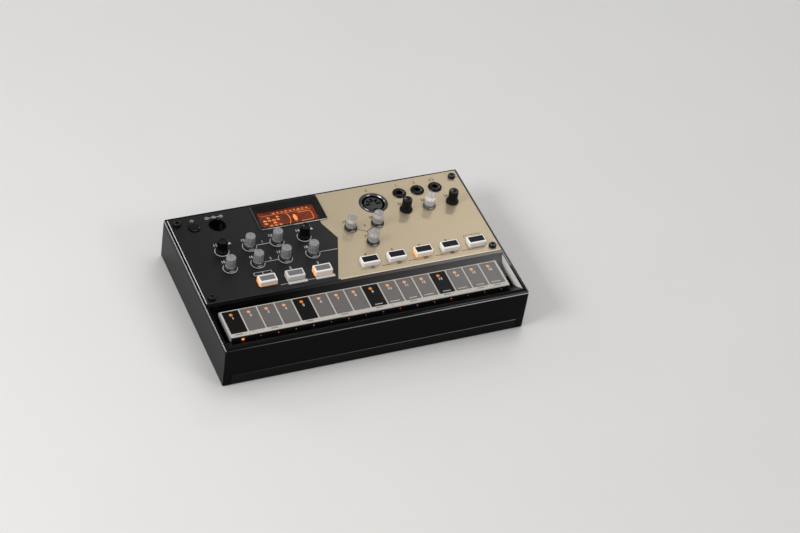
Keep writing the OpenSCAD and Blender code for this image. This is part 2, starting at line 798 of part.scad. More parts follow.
module key(k) {
    at([k[1], key_y]) color("#e8e4da") difference() {
        union() {
            intersection() {
                along_y(key_d + 2) shouldered(key_w, flange_top - flange_t, cap_top, cap_edge_r);
                along_x(key_w + 2) shouldered(key_d, flange_top - flange_t, cap_top, cap_edge_r);
                block([key_w, key_d], flange_top - flange_t, cap_top + over, 1);
            }
            block([key_w + 2 * flange, key_d + 2 * flange], flange_top - flange_t, flange_top, 1.2);
            post(stem_r, stem_z, flange_top);
        }
        block(k[2], cap_top - 0.1, cap_top + over, 0.35);
    }
}

// Push switch: a square housing with a guide for the stem that presses it
module switch_housing(xy, z, top, travel) {
    at(xy) difference() {
        block([switch_w, switch_w], board_top, top, 0.4);
        post(stem_r + stem_gap, z - travel - 0.3, top + over);
    }
}

module key_switches() {
    color("#2c2c30") for (k = KEYS) switch_housing([k[1], key_y], stem_z, switch_top, key_travel);
}

module power_switch() {
    color("#2c2c30") switch_housing([power_x, power_y], stem_z, switch_top, power_travel);
}

module power_button() {
    top = panel_top + power_rise;
    foot = flange_top - flange_t;
    color("#0e0e10") at([power_x, power_y]) {
        rotate_extrude()
            polygon([
                [0, stem_z], [stem_r, stem_z], [stem_r, foot], [power_r + flange, foot],
                [power_r + flange, flange_top], [power_r, flange_top], [power_r, top - 0.4],
                [power_r - 0.15, top - 0.15], [power_r - 0.5, top - 0.05], [power_r - 1.4, top], [0, top]
            ]);
    }
}

// ---- Electronics ----

module main_board() {
    color("#1d5a38") difference() {
        union() {
            translate([0, panel_mid_y - 0.4, 0])
                block([panel_w - 12.6, panel_d - 4], board_z, board_top, 1);
            // Processor, memory and a row of smoothing capacitors
            at([wave_x - 22, front_row_y - 3]) block([9, 9], board_top, board_top + 1.4, 0.3);
            at([wave_x + 18, front_row_y - 1]) block([12, 12], board_top, board_top + 1.4, 0.3);
            for (i = [0:2])
                at([right_x(1) + i * 7, front_row_y]) post(2.2, board_top, board_top + 5);
        }
        for (p = SCREW_XY) at(p) post(boss_r + 0.4, board_z - over, board_top + over);
        for (p = STANDOFF_XY) at(p) post(standoff_r / 2 + seat, board_z - over, board_top + over);
        for (i = [0:2]) at([jack_x(i), jack_y]) post(jack_tail_r + seat, board_z - over, board_top + over);
    }
}

module jack_socket(i) {
    color("#111113") at([jack_x(i), jack_y]) difference() {
        union() {
            block([8.8, 10.6], board_top, pot_top, 0.5);
            post(jack_nose_r, pot_top - 0.5, panel_top + 0.3);
            post(jack_tail_r, jack_top - jack_depth - 0.8, board_top + 0.5);
            translate([0, 0, panel_top + 2 * ink_t])
                rotate_extrude()
                    polygon([
                        [0, 0], [jack_collar_r, 0], [jack_collar_r, jack_rise * 0.3],
                        [jack_collar_r - 0.35, jack_rise * 0.6], [jack_collar_r - 0.95, jack_rise * 0.85],
                        [jack_collar_r - 1.6, jack_rise - 2 * ink_t], [0, jack_rise - 2 * ink_t]
                    ]);
        }
        post(jack_bore_r, jack_top - jack_depth, jack_top + over);
        translate([0, 0, jack_top - 0.5])
            cylinder(r1 = jack_bore_r, r2 = jack_bore_r + 0.5, h = 0.5 + slip);
    }
}

// The pin slots of the note input: five leaves on a half circle round the back
module midi_slots() {
    slot_r = 0.85;
    for (i = [0:4])
        rotate([0, 0, i * 45])
            translate([midi_pin_r, 0, 0]) {
                for (s = [-1, 1]) translate([s * 0.9, 0, 0]) circle(slot_r);
                square([1.8, 2 * slot_r], center = true);
            }
}

module midi_housing() {
    core_top = panel_top - 0.6;
    color("#161618") at([midi_x, midi_y]) difference() {
        union() {
            block([2 * midi_r - 0.4, 2 * midi_r - 0.4], board_top, pot_top, 1);
            post(midi_r, board_top, panel_top + 0.1);
        }
        difference() {
            post(midi_shell_r + slip, midi_floor, panel_top + over);
            post(midi_core_r, midi_floor - over, core_top);
        }
        translate([0, 0, core_top - 6]) linear_extrude(7) midi_slots();
        translate([0, -midi_core_r, core_top - 4]) block([2.6, 3.4], 0, 6, 0.4);
    }
}

module midi_shell() {
    color("#cfd2d6") at([midi_x, midi_y])
        rotate_extrude()
            polygon([
                [midi_gap_r, midi_floor], [midi_shell_r, midi_floor], [midi_shell_r, panel_top + 0.1],
                [midi_shell_r - 0.25, panel_top + 0.35], [midi_gap_r + 0.5, panel_top + 0.35],
                [midi_gap_r, panel_top - 0.2]
            ]);
}

module midi_contacts() {
    tube_r = 0.7;
    foot = panel_top - 6.6;
    color("#d8b25a") at([midi_x, midi_y])
        for (i = [0:4])
            rotate([0, 0, i * 45])
                translate([midi_pin_r, 0, 0]) difference() {
                    post(tube_r, foot, foot + 3.6);
                    post(tube_r - 0.2, foot + 0.4, foot + 4);
                }
}

module power_socket() {
    color("#131315") at([dc_x, dc_y]) difference() {
        union() {
            block([2 * dc_r - 0.6, 2 * dc_r + 2], board_top, pot_top, 0.6);
            post(dc_r, board_top, panel_top - 0.1);
        }
        post(dc_recess_r, dc_recess_z, panel_top + over);
        post(dc_plug_r, board_top + 1, panel_top);
        // Key notch in the rim
        translate([0, -dc_r, 0]) block([1.4, 2.4], dc_recess_z + 2, panel_top + over, 0.2);
    }
}

module power_socket_pin() {
    color("#d8d8d8") at([dc_x, dc_y]) {
        post(0.8, board_top + 1, dc_recess_z - 0.6);
        translate([0, 0, dc_recess_z - 0.6]) cylinder(r1 = 0.8, r2 = 0.5, h = 0.4);
    }
}

// ---- Loudspeaker ----

module speaker_basket() {
    z = speaker_z;
    back_r = speaker_r * 0.5;
    color("#55585c") at([speaker_x, speaker_y])
        rotate_extrude()
            polygon([
                [speaker_r - 2, z], [speaker_r, z], [speaker_r, z + 1.2], [speaker_r - 1.6, z + 1.2],
                [back_r + 1, z + 6.6], [back_r + 1, z + speaker_h], [0, z + speaker_h],
                [0, z + 7.6], [back_r - 1, z + 7.6], [back_r - 1, z + 6], [back_r, z + 6],
                [speaker_r - 2, z + 0.9]
            ]);
}

module speaker_cone() {
    z = speaker_z;
    back_r = speaker_r * 0.3;
    color("#26221f") at([speaker_x, speaker_y])
        rotate_extrude()
            polygon([
                [0, z + 4.6], [back_r, z + 4.2], [speaker_r - 3.6, z + 0.4], [speaker_r - 2.1, z + 0.1],
                [speaker_r - 2.1, z + 0.5], [speaker_r - 3.6, z + 0.8], [back_r + 0.3, z + 4.7],
                [back_r + 0.3, z + 7.5], [back_r - 0.3, z + 7.5], [back_r - 0.3, z + 4.9], [0, z + 5.1]
            ]);
}

// ---- Batteries ----

module battery_cells() {
    cap_h = 1;
    color("#3c6e8f")
        for (i = [0:cells - 1])
            translate([bay_x + (i - (cells - 1) / 2) * cell_pitch, bay_y, cell_z])
                rotate([i % 2 == 0 ? 90 : -90, 0, 0])
                    translate([0, 0, -cell_len / 2])
                        rotate_extrude()
                            polygon([
                                [0, 0], [cell_d / 2 - 0.6, 0], [cell_d / 2, 0.6],
                                [cell_d / 2, cell_len - cap_h - 0.6], [cell_d / 2 - 0.6, cell_len - cap_h],
                                [2.7, cell_len - cap_h], [2.7, cell_len], [0, cell_len]
                            ]);
}

// Bowed leaf contacts, one at each end of each cell
module battery_contacts() {
    leaf_t = 0.35;
    bow_r = 6;
    leaf_w = 8;
    sag = contact_room - leaf_t - 0.1;          // how far a leaf bows off the wall
    color("#c8ccd0")
        for (i = [0:cells - 1], s = [-1, 1])
            translate([bay_x + (i - (cells - 1) / 2) * cell_pitch, bay_y + s * bay_d / 2, cell_z])
                rotate([0, 0, s > 0 ? 0 : 180])
                    along_x(leaf_w) {
                        translate([-leaf_t, -bow_r + 1]) square([leaf_t, 2 * bow_r - 2]);
                        intersection() {
                            translate([bow_r - sag - leaf_t, 0]) difference() {
                                circle(bow_r);
                                circle(bow_r - leaf_t);
                            }
                            translate([-bow_r, -bow_r]) square([bow_r - leaf_t / 2, 2 * bow_r]);
                        }
                    }
}

module battery_door() {
    z = body_z;
    front_y = bay_y - bay_d / 2 + door_gap;
    color("#1e1e20") difference() {
        union() {
            translate([bay_x, (front_y + hinge_y) / 2, 0])
                block([2 * door_half, hinge_y - front_y], z, z + door_t, 0.05);
            translate([bay_x, hinge_y, hinge_z]) rotate([0, 90, 0]) {
                cylinder(r = door_t / 2 - slip, h = 2 * door_half, center = true);
                cylinder(r = hinge_pin_r, h = 2 * (door_half + hinge_pin_len), center = true);
            }
        }
        // Grip grooves near the free edge
        for (i = [0:4])
            translate([bay_x, front_y + 5 + i * 2.4, 0]) block([22, 1], z - over, z + 0.5, 0.4);
    }
}

module bottom_screws() {
    head_top = body_z + floor_t;
    color("#8e9298") for (p = concat(SCREW_XY, FRONT_BOSS_XY)) at(p) difference() {
        union() {
            post(shank_r + 1.2, head_top - 1.5, head_top);
            post(shank_r, head_top - 0.5, pad_top + bottom_screw_reach);
        }
        for (a = [0, 90])
            rotate([0, 0, a])
                block([3, 0.7], head_top - 2.5, head_top - 0.8, 0.1);
    }
}

module board_screws() {
    color("#8e9298") for (p = STANDOFF_XY) at(p) difference() {
        union() {
            post(standoff_r, board_z - 1.3, board_z);
            post(standoff_r / 2, board_z - 0.5, board_top + board_screw_reach);
        }
        for (a = [0, 90])
            rotate([0, 0, a])
                block([2.8, 0.6], board_z - 2.5, board_z - 0.7, 0.1);
    }
}

module rubber_feet() {
    color("#2a2a2a") for (p = FOOT_XY) at(p)
        rotate_extrude()
            polygon([
                [0, 0], [foot_r - 0.4, 0], [foot_r, 0.4], [foot_r, body_z + foot_sink], [0, body_z + foot_sink]
            ]);
}

upper_case();
bottom_cover();
face_panel();
display_bezel();
display_window();
display_module();
touch_plate();
touch_board();
touch_carrier();
step_lamps();
cheek(-1);  // cheek_left
cheek(1);  // cheek_right
main_board();
potentiometers();
key_switches();
face_screws();
bottom_screws();
board_screws();
rubber_feet();
midi_housing();
midi_shell();
midi_contacts();
power_socket();
power_socket_pin();
power_button();
power_switch();
speaker_basket();
speaker_cone();
battery_door();
battery_cells();
battery_contacts();
for (i = [0:2]) jack_socket(i);
for (k = KNOBS) knob(k);
for (k = KEYS) key(k);
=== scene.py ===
"""Looks of the drum machine: finishes for its solids, printed marks, the lit display, lamps and the stage."""

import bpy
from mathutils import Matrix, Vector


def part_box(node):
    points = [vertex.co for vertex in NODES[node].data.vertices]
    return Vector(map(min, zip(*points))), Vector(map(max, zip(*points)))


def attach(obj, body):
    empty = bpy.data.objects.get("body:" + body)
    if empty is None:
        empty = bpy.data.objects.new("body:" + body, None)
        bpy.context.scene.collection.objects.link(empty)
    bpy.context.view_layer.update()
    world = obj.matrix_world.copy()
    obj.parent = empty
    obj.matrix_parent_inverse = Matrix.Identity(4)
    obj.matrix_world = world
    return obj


bl_info = {
    "name": "Drum Machine",
    "version": (1, 0, 0),
    "blender": (4, 5, 0),
    "location": "3D View > Sidebar > Drum Machine",
    "description": "Dresses the drum machine's solids with finishes, print, display and lamps",
    "category": "Object",
}

import math

import bpy
from mathutils import Matrix, Vector

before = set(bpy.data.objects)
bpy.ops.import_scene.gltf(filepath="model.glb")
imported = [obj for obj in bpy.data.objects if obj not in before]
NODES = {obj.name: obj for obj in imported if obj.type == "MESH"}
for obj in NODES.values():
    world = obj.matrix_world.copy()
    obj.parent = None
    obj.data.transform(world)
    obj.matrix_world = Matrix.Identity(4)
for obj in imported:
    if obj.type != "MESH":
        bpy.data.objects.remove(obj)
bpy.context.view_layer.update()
MM = 0.001
CASE = "case"


# ---- Places, read from the solids ----

def middle(node):
    """Centre of a node's box, in metres."""
    low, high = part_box(node)
    return (low + high) / 2


KNOBS = sorted(n for n in NODES if n.startswith("knob_"))
BLACK_KNOBS = {"knob_level", "knob_select", "knob_swing", "knob_volume"}
LEFT_KEYS = sorted(n for n in NODES if n.startswith("left_key_"))
RIGHT_KEYS = sorted(n for n in NODES if n.startswith("right_key_"))
LIT_KEYS = {"left_key_1", "left_key_3", "right_key_3"}
SOCKETS = ["sync_in_socket", "sync_out_socket", "headphone_socket"]
GOLD_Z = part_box("face_panel")[1].z               # top of the gold coat
DARK_Z = GOLD_Z - 0.05 * MM                      # top of the dark coat
LIFT = 0.03 * MM                                 # height of print above its surface
BEZEL = middle("display_bezel")
TOUCH_LOW, TOUCH_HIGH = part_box("touch_plate")
LAMP_LOW, LAMP_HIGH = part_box("step_lamps")
LAMP_EDGE = 0.8 * MM                             # from the end of the row to a lamp's centre
LAMP_Y = (LAMP_LOW.y + LAMP_HIGH.y) / 2
PADS = 16
PITCH = (LAMP_HIGH.x - LAMP_LOW.x - 2 * LAMP_EDGE) / (PADS - 1)
LAMP_XS = [LAMP_LOW.x + LAMP_EDGE + i * PITCH for i in range(PADS)]
PAD_XS = [x + 0.25 * MM for x in LAMP_XS]
PAD_LOW = TOUCH_LOW.y + 3.3 * MM
PAD_HIGH = TOUCH_HIGH.y - 1.0 * MM


# ---- The camera and the sky ----

EYE_PLACE = (-0.50702, -0.98560, 1.05899)
EYE_FORWARD = (0.35410834, 0.64089871, -0.68106984)
EYE_UP = (0.17280372, 0.67087757, 0.72115336)
EYE_LENS = 113.447                               # mm, on a sensor 36 mm wide
SEEN_SKY = 0.62                                  # strength of the sky where it is seen or mirrored


# ---- Building blocks ----

def linked(name, data):
    """A new object in the scene."""
    piece = bpy.data.objects.new(name, data)
    bpy.context.scene.collection.objects.link(piece)
    return piece


def finished(mesh):
    """Makes a piece of a mesh that is in place and in metres, and lets it ride on the case."""
    piece = linked(mesh.name, mesh)
    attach(piece, CASE)


def as_built(holder):
    """An object's mesh after its modifiers, or the mesh of a text."""
    bpy.context.view_layer.update()
    return bpy.data.meshes.new_from_object(holder.evaluated_get(bpy.context.evaluated_depsgraph_get()))


def flat_mesh(name, points, faces, material):
    """A mesh of one material, from points in metres."""
    mesh = bpy.data.meshes.new(name)
    mesh.from_pydata(points, [], faces)
    mesh.materials.append(material)
    mesh.update()
    return mesh


def flat_shapes(name, outlines, z, material):
    """A mesh of flat outlines, given in millimetres, that face up at height z in metres."""
    points, faces = [], []
    for outline in outlines:
        area = sum(a[0] * b[1] - b[0] * a[1] for a, b in zip(outline, outline[1:] + outline[:1]))
        ring = outline if area > 0 else outline[::-1]
        faces.append(list(range(len(points), len(points) + len(ring))))
        points += [(x * MM, y * MM, z) for x, y in ring]
    return flat_mesh(name, points, faces, material)


def bar(x0, y0, x1, y1, width):
    """A straight printed line of some width, in millimetres."""
    run = Vector((x1 - x0, y1 - y0))
    side = Vector((-run.y, run.x)).normalized() * width / 2
    return [(x0 - side.x, y0 - side.y), (x1 - side.x, y1 - side.y),
            (x1 + side.x, y1 + side.y), (x0 + side.x, y0 + side.y)]


def on_circle(x, y, r, degrees):
    angle = math.radians(degrees)
    return x + r * math.cos(angle), y + r * math.sin(angle)


def box_outline(x, y, w, d, r=0.0):
    """A rectangle about x, y with corners of radius r, in millimetres."""
    corners = ((1, -1), (1, 1), (-1, 1), (-1, -1))
    if r <= 0:
        return [(x + sx * w / 2, y + sy * d / 2) for sx, sy in corners]
    return [on_circle(x + sx * (w / 2 - r), y + sy * (d / 2 - r), r, corner * 90 + step * 22.5 - 90)
            for corner, (sx, sy) in enumerate(corners) for step in range(5)]


def disc_outline(x, y, r, corners=12):
    return [on_circle(x, y, r, 360 * i / corners) for i in range(corners)]


def arc_bars(x, y, r, start, end, width, steps=12):
    """Short bars along an arc, in millimetres and degrees."""
    at = [on_circle(x, y, r, start + (end - start) * i / steps) for i in range(steps + 1)]
    return [bar(*a, *b, width) for a, b in zip(at, at[1:])]


def frame_bars(x, y, w, d, width):
    """The four sides of a printed frame, in millimetres."""
    left, right, low, high = x - w / 2, x + w / 2, y - d / 2, y + d / 2
    return [bar(left, low, right, low, width), bar(left, high, right, high, width),
            bar(left, low, left, high, width), bar(right, low, right, high, width)]


def numerals(name, entries, z, material):
    """Plain printed numbers as one flat mesh; entries are text, x, y and height in millimetres."""
    font_size, stroke = 1.38, 0.035              # for a figure of height 1
    points, faces = [], []
    for text, x, y, height in entries:
        curve = bpy.data.curves.new(name + "_text", "FONT")
        curve.body = text
        curve.size = height * font_size * MM
        curve.offset = height * stroke * MM
        curve.align_x = "CENTER"
        curve.align_y = "CENTER"
        curve.resolution_u = 3
        holder = linked(name + "_text", curve)
        made = as_built(holder)
        start = len(points)
        points += [(v.co.x + x * MM, v.co.y + y * MM, z) for v in made.vertices]
        faces += [[start + i for i in p.vertices] for p in made.polygons]
        bpy.data.objects.remove(holder)
        bpy.data.curves.remove(curve)
        bpy.data.meshes.remove(made)
    return flat_mesh(name, points, faces, material)


class Nodes:
    """Adds nodes to a tree; each input gets a value or a link."""

    def __init__(self, tree):
        self.tree = tree

    def feed(self, socket, given):
        if isinstance(given, bpy.types.NodeSocket):
            self.tree.links.new(given, socket)
        else:
            socket.default_value = given

    def node(self, kind, inputs=None, **settings):
        made = self.tree.nodes.new(kind)
        for key, setting in settings.items():
            setattr(made, key, setting)
        for key, given in (inputs or {}).items():
            self.feed(made.inputs[key], given)
        return made

    def math(self, operation, *values):
        return self.node("ShaderNodeMath", dict(enumerate(values)), operation=operation).outputs[0]


# ---- Geometry Nodes ----

class Tree(Nodes):
    """A Geometry Nodes tree with named inputs, applied once and left as a plain mesh."""

    def __init__(self, name):
        super().__init__(bpy.data.node_groups.new(name, "GeometryNodeTree"))
        self.inputs = self.node("NodeGroupInput")
        self.output = self.node("NodeGroupOutput")
        for way in ("INPUT", "OUTPUT"):
            self.tree.interface.new_socket(name="Geometry", in_out=way, socket_type="NodeSocketGeometry")
        self.values = {}

    def value(self, name, value):
        """Adds a named number and returns the socket to link from."""
        item = self.tree.interface.new_socket(name=name, in_out="INPUT", socket_type="NodeSocketFloat")
        self.values[item.identifier] = value
        return next(s for s in self.inputs.outputs if s.identifier == item.identifier)

    def repeat(self, shape, material, **settings):
        """Ends the tree with the shape at every point."""
        points = {"Points": self.inputs.outputs[0], "Instance": shape.outputs[0], **settings}
        copies = self.node("GeometryNodeInstanceOnPoints", points)
        solid = self.node("GeometryNodeRealizeInstances", {"Geometry": copies.outputs[0]})
        painted = self.node("GeometryNodeSetMaterial", {"Geometry": solid.outputs[0], "Material": material})
        self.feed(self.output.inputs[0], painted.outputs[0])
        return self

    def plain_mesh(self, name, points):
        """The tree's result on a mesh of bare points, given in metres."""
        seed = bpy.data.meshes.new(name + "_places")
        seed.from_pydata([tuple(p) for p in points], [], [])
        holder = linked(name + "_places", seed)
        modifier = holder.modifiers.new("Places", "NODES")
        modifier.node_group = self.tree
        for identifier, value in self.values.items():
            modifier[identifier] = value
        mesh = as_built(holder)
        mesh.name = name
        holder.modifiers.clear()
        bpy.data.objects.remove(holder)
        bpy.data.meshes.remove(seed)
        return mesh


def ring_tree(radius, width, material):
    """A flat printed ring at every point."""
    tree = Tree("Printed Rings")
    outer = tree.value("Radius", radius * MM)
    broad = tree.value("Width", width * MM)
    circle = tree.node("GeometryNodeCurvePrimitiveCircle", {"Resolution": 48, "Radius": outer})
    end = tree.node("ShaderNodeCombineXYZ", {"X": broad})
    strip = tree.node("GeometryNodeCurvePrimitiveLine", {"End": end.outputs[0]})
    curves = {"Curve": circle.outputs[0], "Profile Curve": strip.outputs[0]}
    ring = tree.node("GeometryNodeCurveToMesh", curves)
    return tree.repeat(tree.node("GeometryNodeFlipFaces", {"Mesh": ring.outputs[0]}), material)


def tile_tree(width, depth, corner, material):
    """A flat tile with round corners at every point."""
    tree = Tree("Printed Tiles")
    across = tree.value("Width", width * MM)
    along = tree.value("Depth", depth * MM)
    radius = tree.value("Corner Radius", corner * MM)
    outline = tree.node("GeometryNodeCurvePrimitiveQuadrilateral", {"Width": across, "Height": along})
    corners = {"Curve": outline.outputs[0], "Count": 4, "Radius": radius}
    rounded = tree.node("GeometryNodeFilletCurve", corners, mode="POLY")
    face = tree.node("GeometryNodeFillCurve", {"Curve": rounded.outputs[0]}, mode="NGONS")
    return tree.repeat(face, material)


def glint_tree(radius, rise, material):
    """A small flat dome at every point, standing in for a painted glint of lamp light."""
    tree = Tree("Lamp Lenses")
    size = tree.value("Radius", radius * MM)
    height = tree.value("Rise", rise)
    dome = tree.node("GeometryNodeMeshUVSphere", {"Segments": 16, "Rings": 8, "Radius": size})
    flat = tree.node("ShaderNodeCombineXYZ", {"X": 1.0, "Y": 1.0, "Z": height})
    return tree.repeat(dome, material, Scale=flat.outputs[0])


# ---- Finishes ----

BLACK = (0.004, 0.004, 0.0045)                   # glossy black plastic and steel
DEEP_BLACK = (0.003, 0.003, 0.0035)              # sockets and power button


def grey(value):
    return (value, value, value)


def scaled(colour, factor):
    return [min(1.0, v * factor) for v in colour]


class Finish(Nodes):
    """A node-based material: a Principled shader with named helpers for grain and variation."""

    def __init__(self, name, colour, roughness, metallic=0.0, level=0.5, **sockets):
        """Roughness is a number, or what vary_roughness takes; level is the specular level."""
        self.material = bpy.data.materials.new(name)
        self.material.use_nodes = True
        super().__init__(self.material.node_tree)
        self.shader = self.tree.nodes["Principled BSDF"]
        self.place = self.node("ShaderNodeTexCoord").outputs["Object"]
        self.set("Base Color", (*colour[:3], 1.0))
        self.set("Metallic", metallic)
        self.set("Specular IOR Level", level)
        if isinstance(roughness, tuple):
            self.vary_roughness(*roughness)
        else:
            self.set("Roughness", roughness)
        for key, value in sockets.items():
            self.set(key.replace("_", " "), value)

    def set(self, key, value):
        self.feed(self.shader.inputs[key], value)

    def glow(self, colour, strength):
        self.set("Emission Color", colour)
        self.set("Emission Strength", strength)

    def axis(self, name):
        """One object coordinate, in metres."""
        return self.node("ShaderNodeSeparateXYZ", {"Vector": self.place}).outputs[name]

    def reach(self, name):
        """Distance from zero along one axis, in metres."""
        return self.math("ABSOLUTE", self.axis(name))

    def facing(self, name):
        """One coordinate of the direction that the surface faces."""
        normal = self.node("ShaderNodeNewGeometry").outputs["Normal"]
        return self.node("ShaderNodeSeparateXYZ", {"Vector": normal}).outputs[name]

    def above(self, value, limit):
        return self.math("GREATER_THAN", value, limit)

    def below(self, value, limit):
        return self.math("LESS_THAN", value, limit)

    def times(self, product, *factors):
        for factor in factors:
            product = self.math("MULTIPLY", product, factor)
        return product

    def between(self, fac, low, high, start=0.0, end=1.0):
        """A number that runs from low to high as fac runs from start to end."""
        ends = {"Value": fac, "From Min": start, "From Max": end, "To Min": low, "To Max": high}
        return self.node("ShaderNodeMapRange", ends).outputs[0]

    def ramp(self, name, start, end):
        """0 to 1 along one axis."""
        return self.between(self.axis(name), 0.0, 1.0, start, end)

    def mix(self, fac, first, second):
        """A colour from the first at 0 to the second at 1, each a colour or a socket."""
        ends = [c if isinstance(c, bpy.types.NodeSocket) else (*c[:3], 1.0) for c in (first, second)]
        return self.node("ShaderNodeMix", {0: fac, 6: ends[0], 7: ends[1]}, data_type="RGBA").outputs[2]

    def noise(self, scale, detail, stretch=(1, 1, 1)):
        """Noise of some number of features per metre."""
        spread = self.node("ShaderNodeMapping", {"Vector": self.place, "Scale": stretch}).outputs[0]
        settings = {"Vector": spread, "Scale": scale, "Detail": detail}
        return self.node("ShaderNodeTexNoise", settings).outputs["Fac"]

    def patches(self, scale, low=0.0, high=1.0, detail=3.0, spread=0.2, stretch=(1, 1, 1)):
        """Noise as patches from low to high; a small spread gives them clear edges."""
        return self.between(self.noise(scale, detail, stretch), low, high, 0.5 - spread, 0.5 + spread)

    def vary_roughness(self, low, high, scale, stretch=(1, 1, 1), detail=3.0):
        self.set("Roughness", self.patches(scale, low, high, detail, stretch=stretch))

    def grain(self, scale, depth, strength=0.5):
        """Fine relief: features per metre and their depth in millimetres."""
        relief = {"Height": self.noise(scale, 3.0), "Strength": strength, "Distance": depth * MM}
        self.set("Normal", self.node("ShaderNodeBump", relief).outputs[0])
        return self

    def mottle(self, first, second, scale, detail=3.0):
        self.set("Base Color", self.mix(self.patches(scale, detail=detail), first, second))
        return self


def paint(nodes, finish, bevel=0.0):
    """Puts a finish on CAD nodes, joins their loose triangles for smooth shading and softens hard edges."""
    crease = math.radians(38.0)
    for name in nodes:
        piece = NODES[name]
        if piece.material_slots:
            for slot in piece.material_slots:
                slot.material = finish.material
        else:
            piece.data.materials.append(finish.material)
        piece.data.polygons.foreach_set("use_smooth", [True] * len(piece.data.polygons))
        join = piece.modifiers.new("Join", "WELD")
        join.merge_threshold = 1e-6
        if bevel:
            flat = piece.modifiers.new("Flats", "DECIMATE")
            flat.decimate_type = "DISSOLVE"
            flat.angle_limit = math.radians(0.5)
            edge = piece.modifiers.new("Edges", "BEVEL")
            edge.width = bevel * MM
            edge.segments = 2
            edge.limit_method = "ANGLE"
            edge.angle_limit = crease
        sharp = piece.modifiers.new("Sharp", "EDGE_SPLIT")
        sharp.split_angle = math.radians(50.0) if bevel else crease
        level = piece.modifiers.new("Level", "WEIGHTED_NORMAL")
        level.weight = 90


# ---- Sizes and colours that a user would change ----

def colour_of(name, description, default):
    return bpy.props.FloatVectorProperty(
        name=name, description=description, subtype="COLOR", default=default, min=0, max=1)


def number(name, description, default, low, high):
    return bpy.props.FloatProperty(name=name, description=description, default=default, min=low, max=high)


class DrumColours(bpy.types.PropertyGroup):
    """Colours of the drum machine's surfaces"""
    case: colour_of("Case", "Polished black moulding", (0.002, 0.002, 0.0024))
    dark: colour_of("Dark face", "Dark coat of the face panel", (0.0065, 0.0065, 0.007))
    gold: colour_of("Gold face", "Gold coat of the face panel", (0.405, 0.335, 0.232))
    print_light: colour_of("Light print", "Printed marks on the dark coat", (0.55, 0.55, 0.53))
    print_dark: colour_of("Dark print", "Printed marks on the gold coat", (0.02, 0.017, 0.014))
    lamp: colour_of("Glints", "Lamp glints on the touch plate's front edge", (1.0, 0.20, 0.02))
    pad: colour_of("Pads", "Printed grey of the touch pads", (0.115, 0.106, 0.102))
    border: colour_of("Pad border", "Pale lines between the touch pads", (0.50, 0.47, 0.42))
    cap: colour_of("Key caps", "Milky plastic of the keys", (0.97, 0.94, 0.90))


class DrumSizes(bpy.types.PropertyGroup):
    """Sizes of the printed marks and lamps, in millimetres"""
    ring_radius: number("Ring radius", "Outer radius of the ring printed round a knob, in mm", 4.5, 4.2, 6)
    ring_width: number("Ring width", "Width of that ring, in mm", 0.52, 0.1, 1)
    line: number("Line width", "Width of the printed lines between knobs, in mm", 0.42, 0.1, 1)
    thin: number("Thin line width", "Width of the thinnest printed lines, in mm", 0.28, 0.1, 1)
    figure: number("Figure height", "Height of the printed numbers, in mm", 1.95, 0.8, 2.5)
    pad_line: number("Pad gap", "Width of the pale line between two pads, in mm", 0.8, 0.3, 1.5)
    lamp_radius: number("Lamp radius", "Radius of a lamp's bright spot, in mm", 1.1, 0.4, 1.5)


class DrumStage(bpy.types.PropertyGroup):
    """Lights and floor"""
    key_power: number("Back light", "Strength of the large light above and behind", 3.7, 0, 60)
    fill_power: number("Front light", "Strength of the soft light in front on the right", 3.0, 0, 60)
    side_power: number("Side light", "Strength of the light on the left", 5.4, 0, 60)
    far_power: number("Far light", "Strength of the long light behind on the right", 2.0, 0, 60)
    edge_power: number("Edge light", "Strength of the low light behind on the left", 1.2, 0, 60)
    sky: number("Sky", "Strength of the even light from all round", 0.36, 0, 2)
    floor: colour_of("Floor", "Colour of the floor", (0.72, 0.715, 0.705))


def colours():
    return bpy.context.scene.drum_colours


def sizes():
    return bpy.context.scene.drum_sizes


# ---- Operators ----

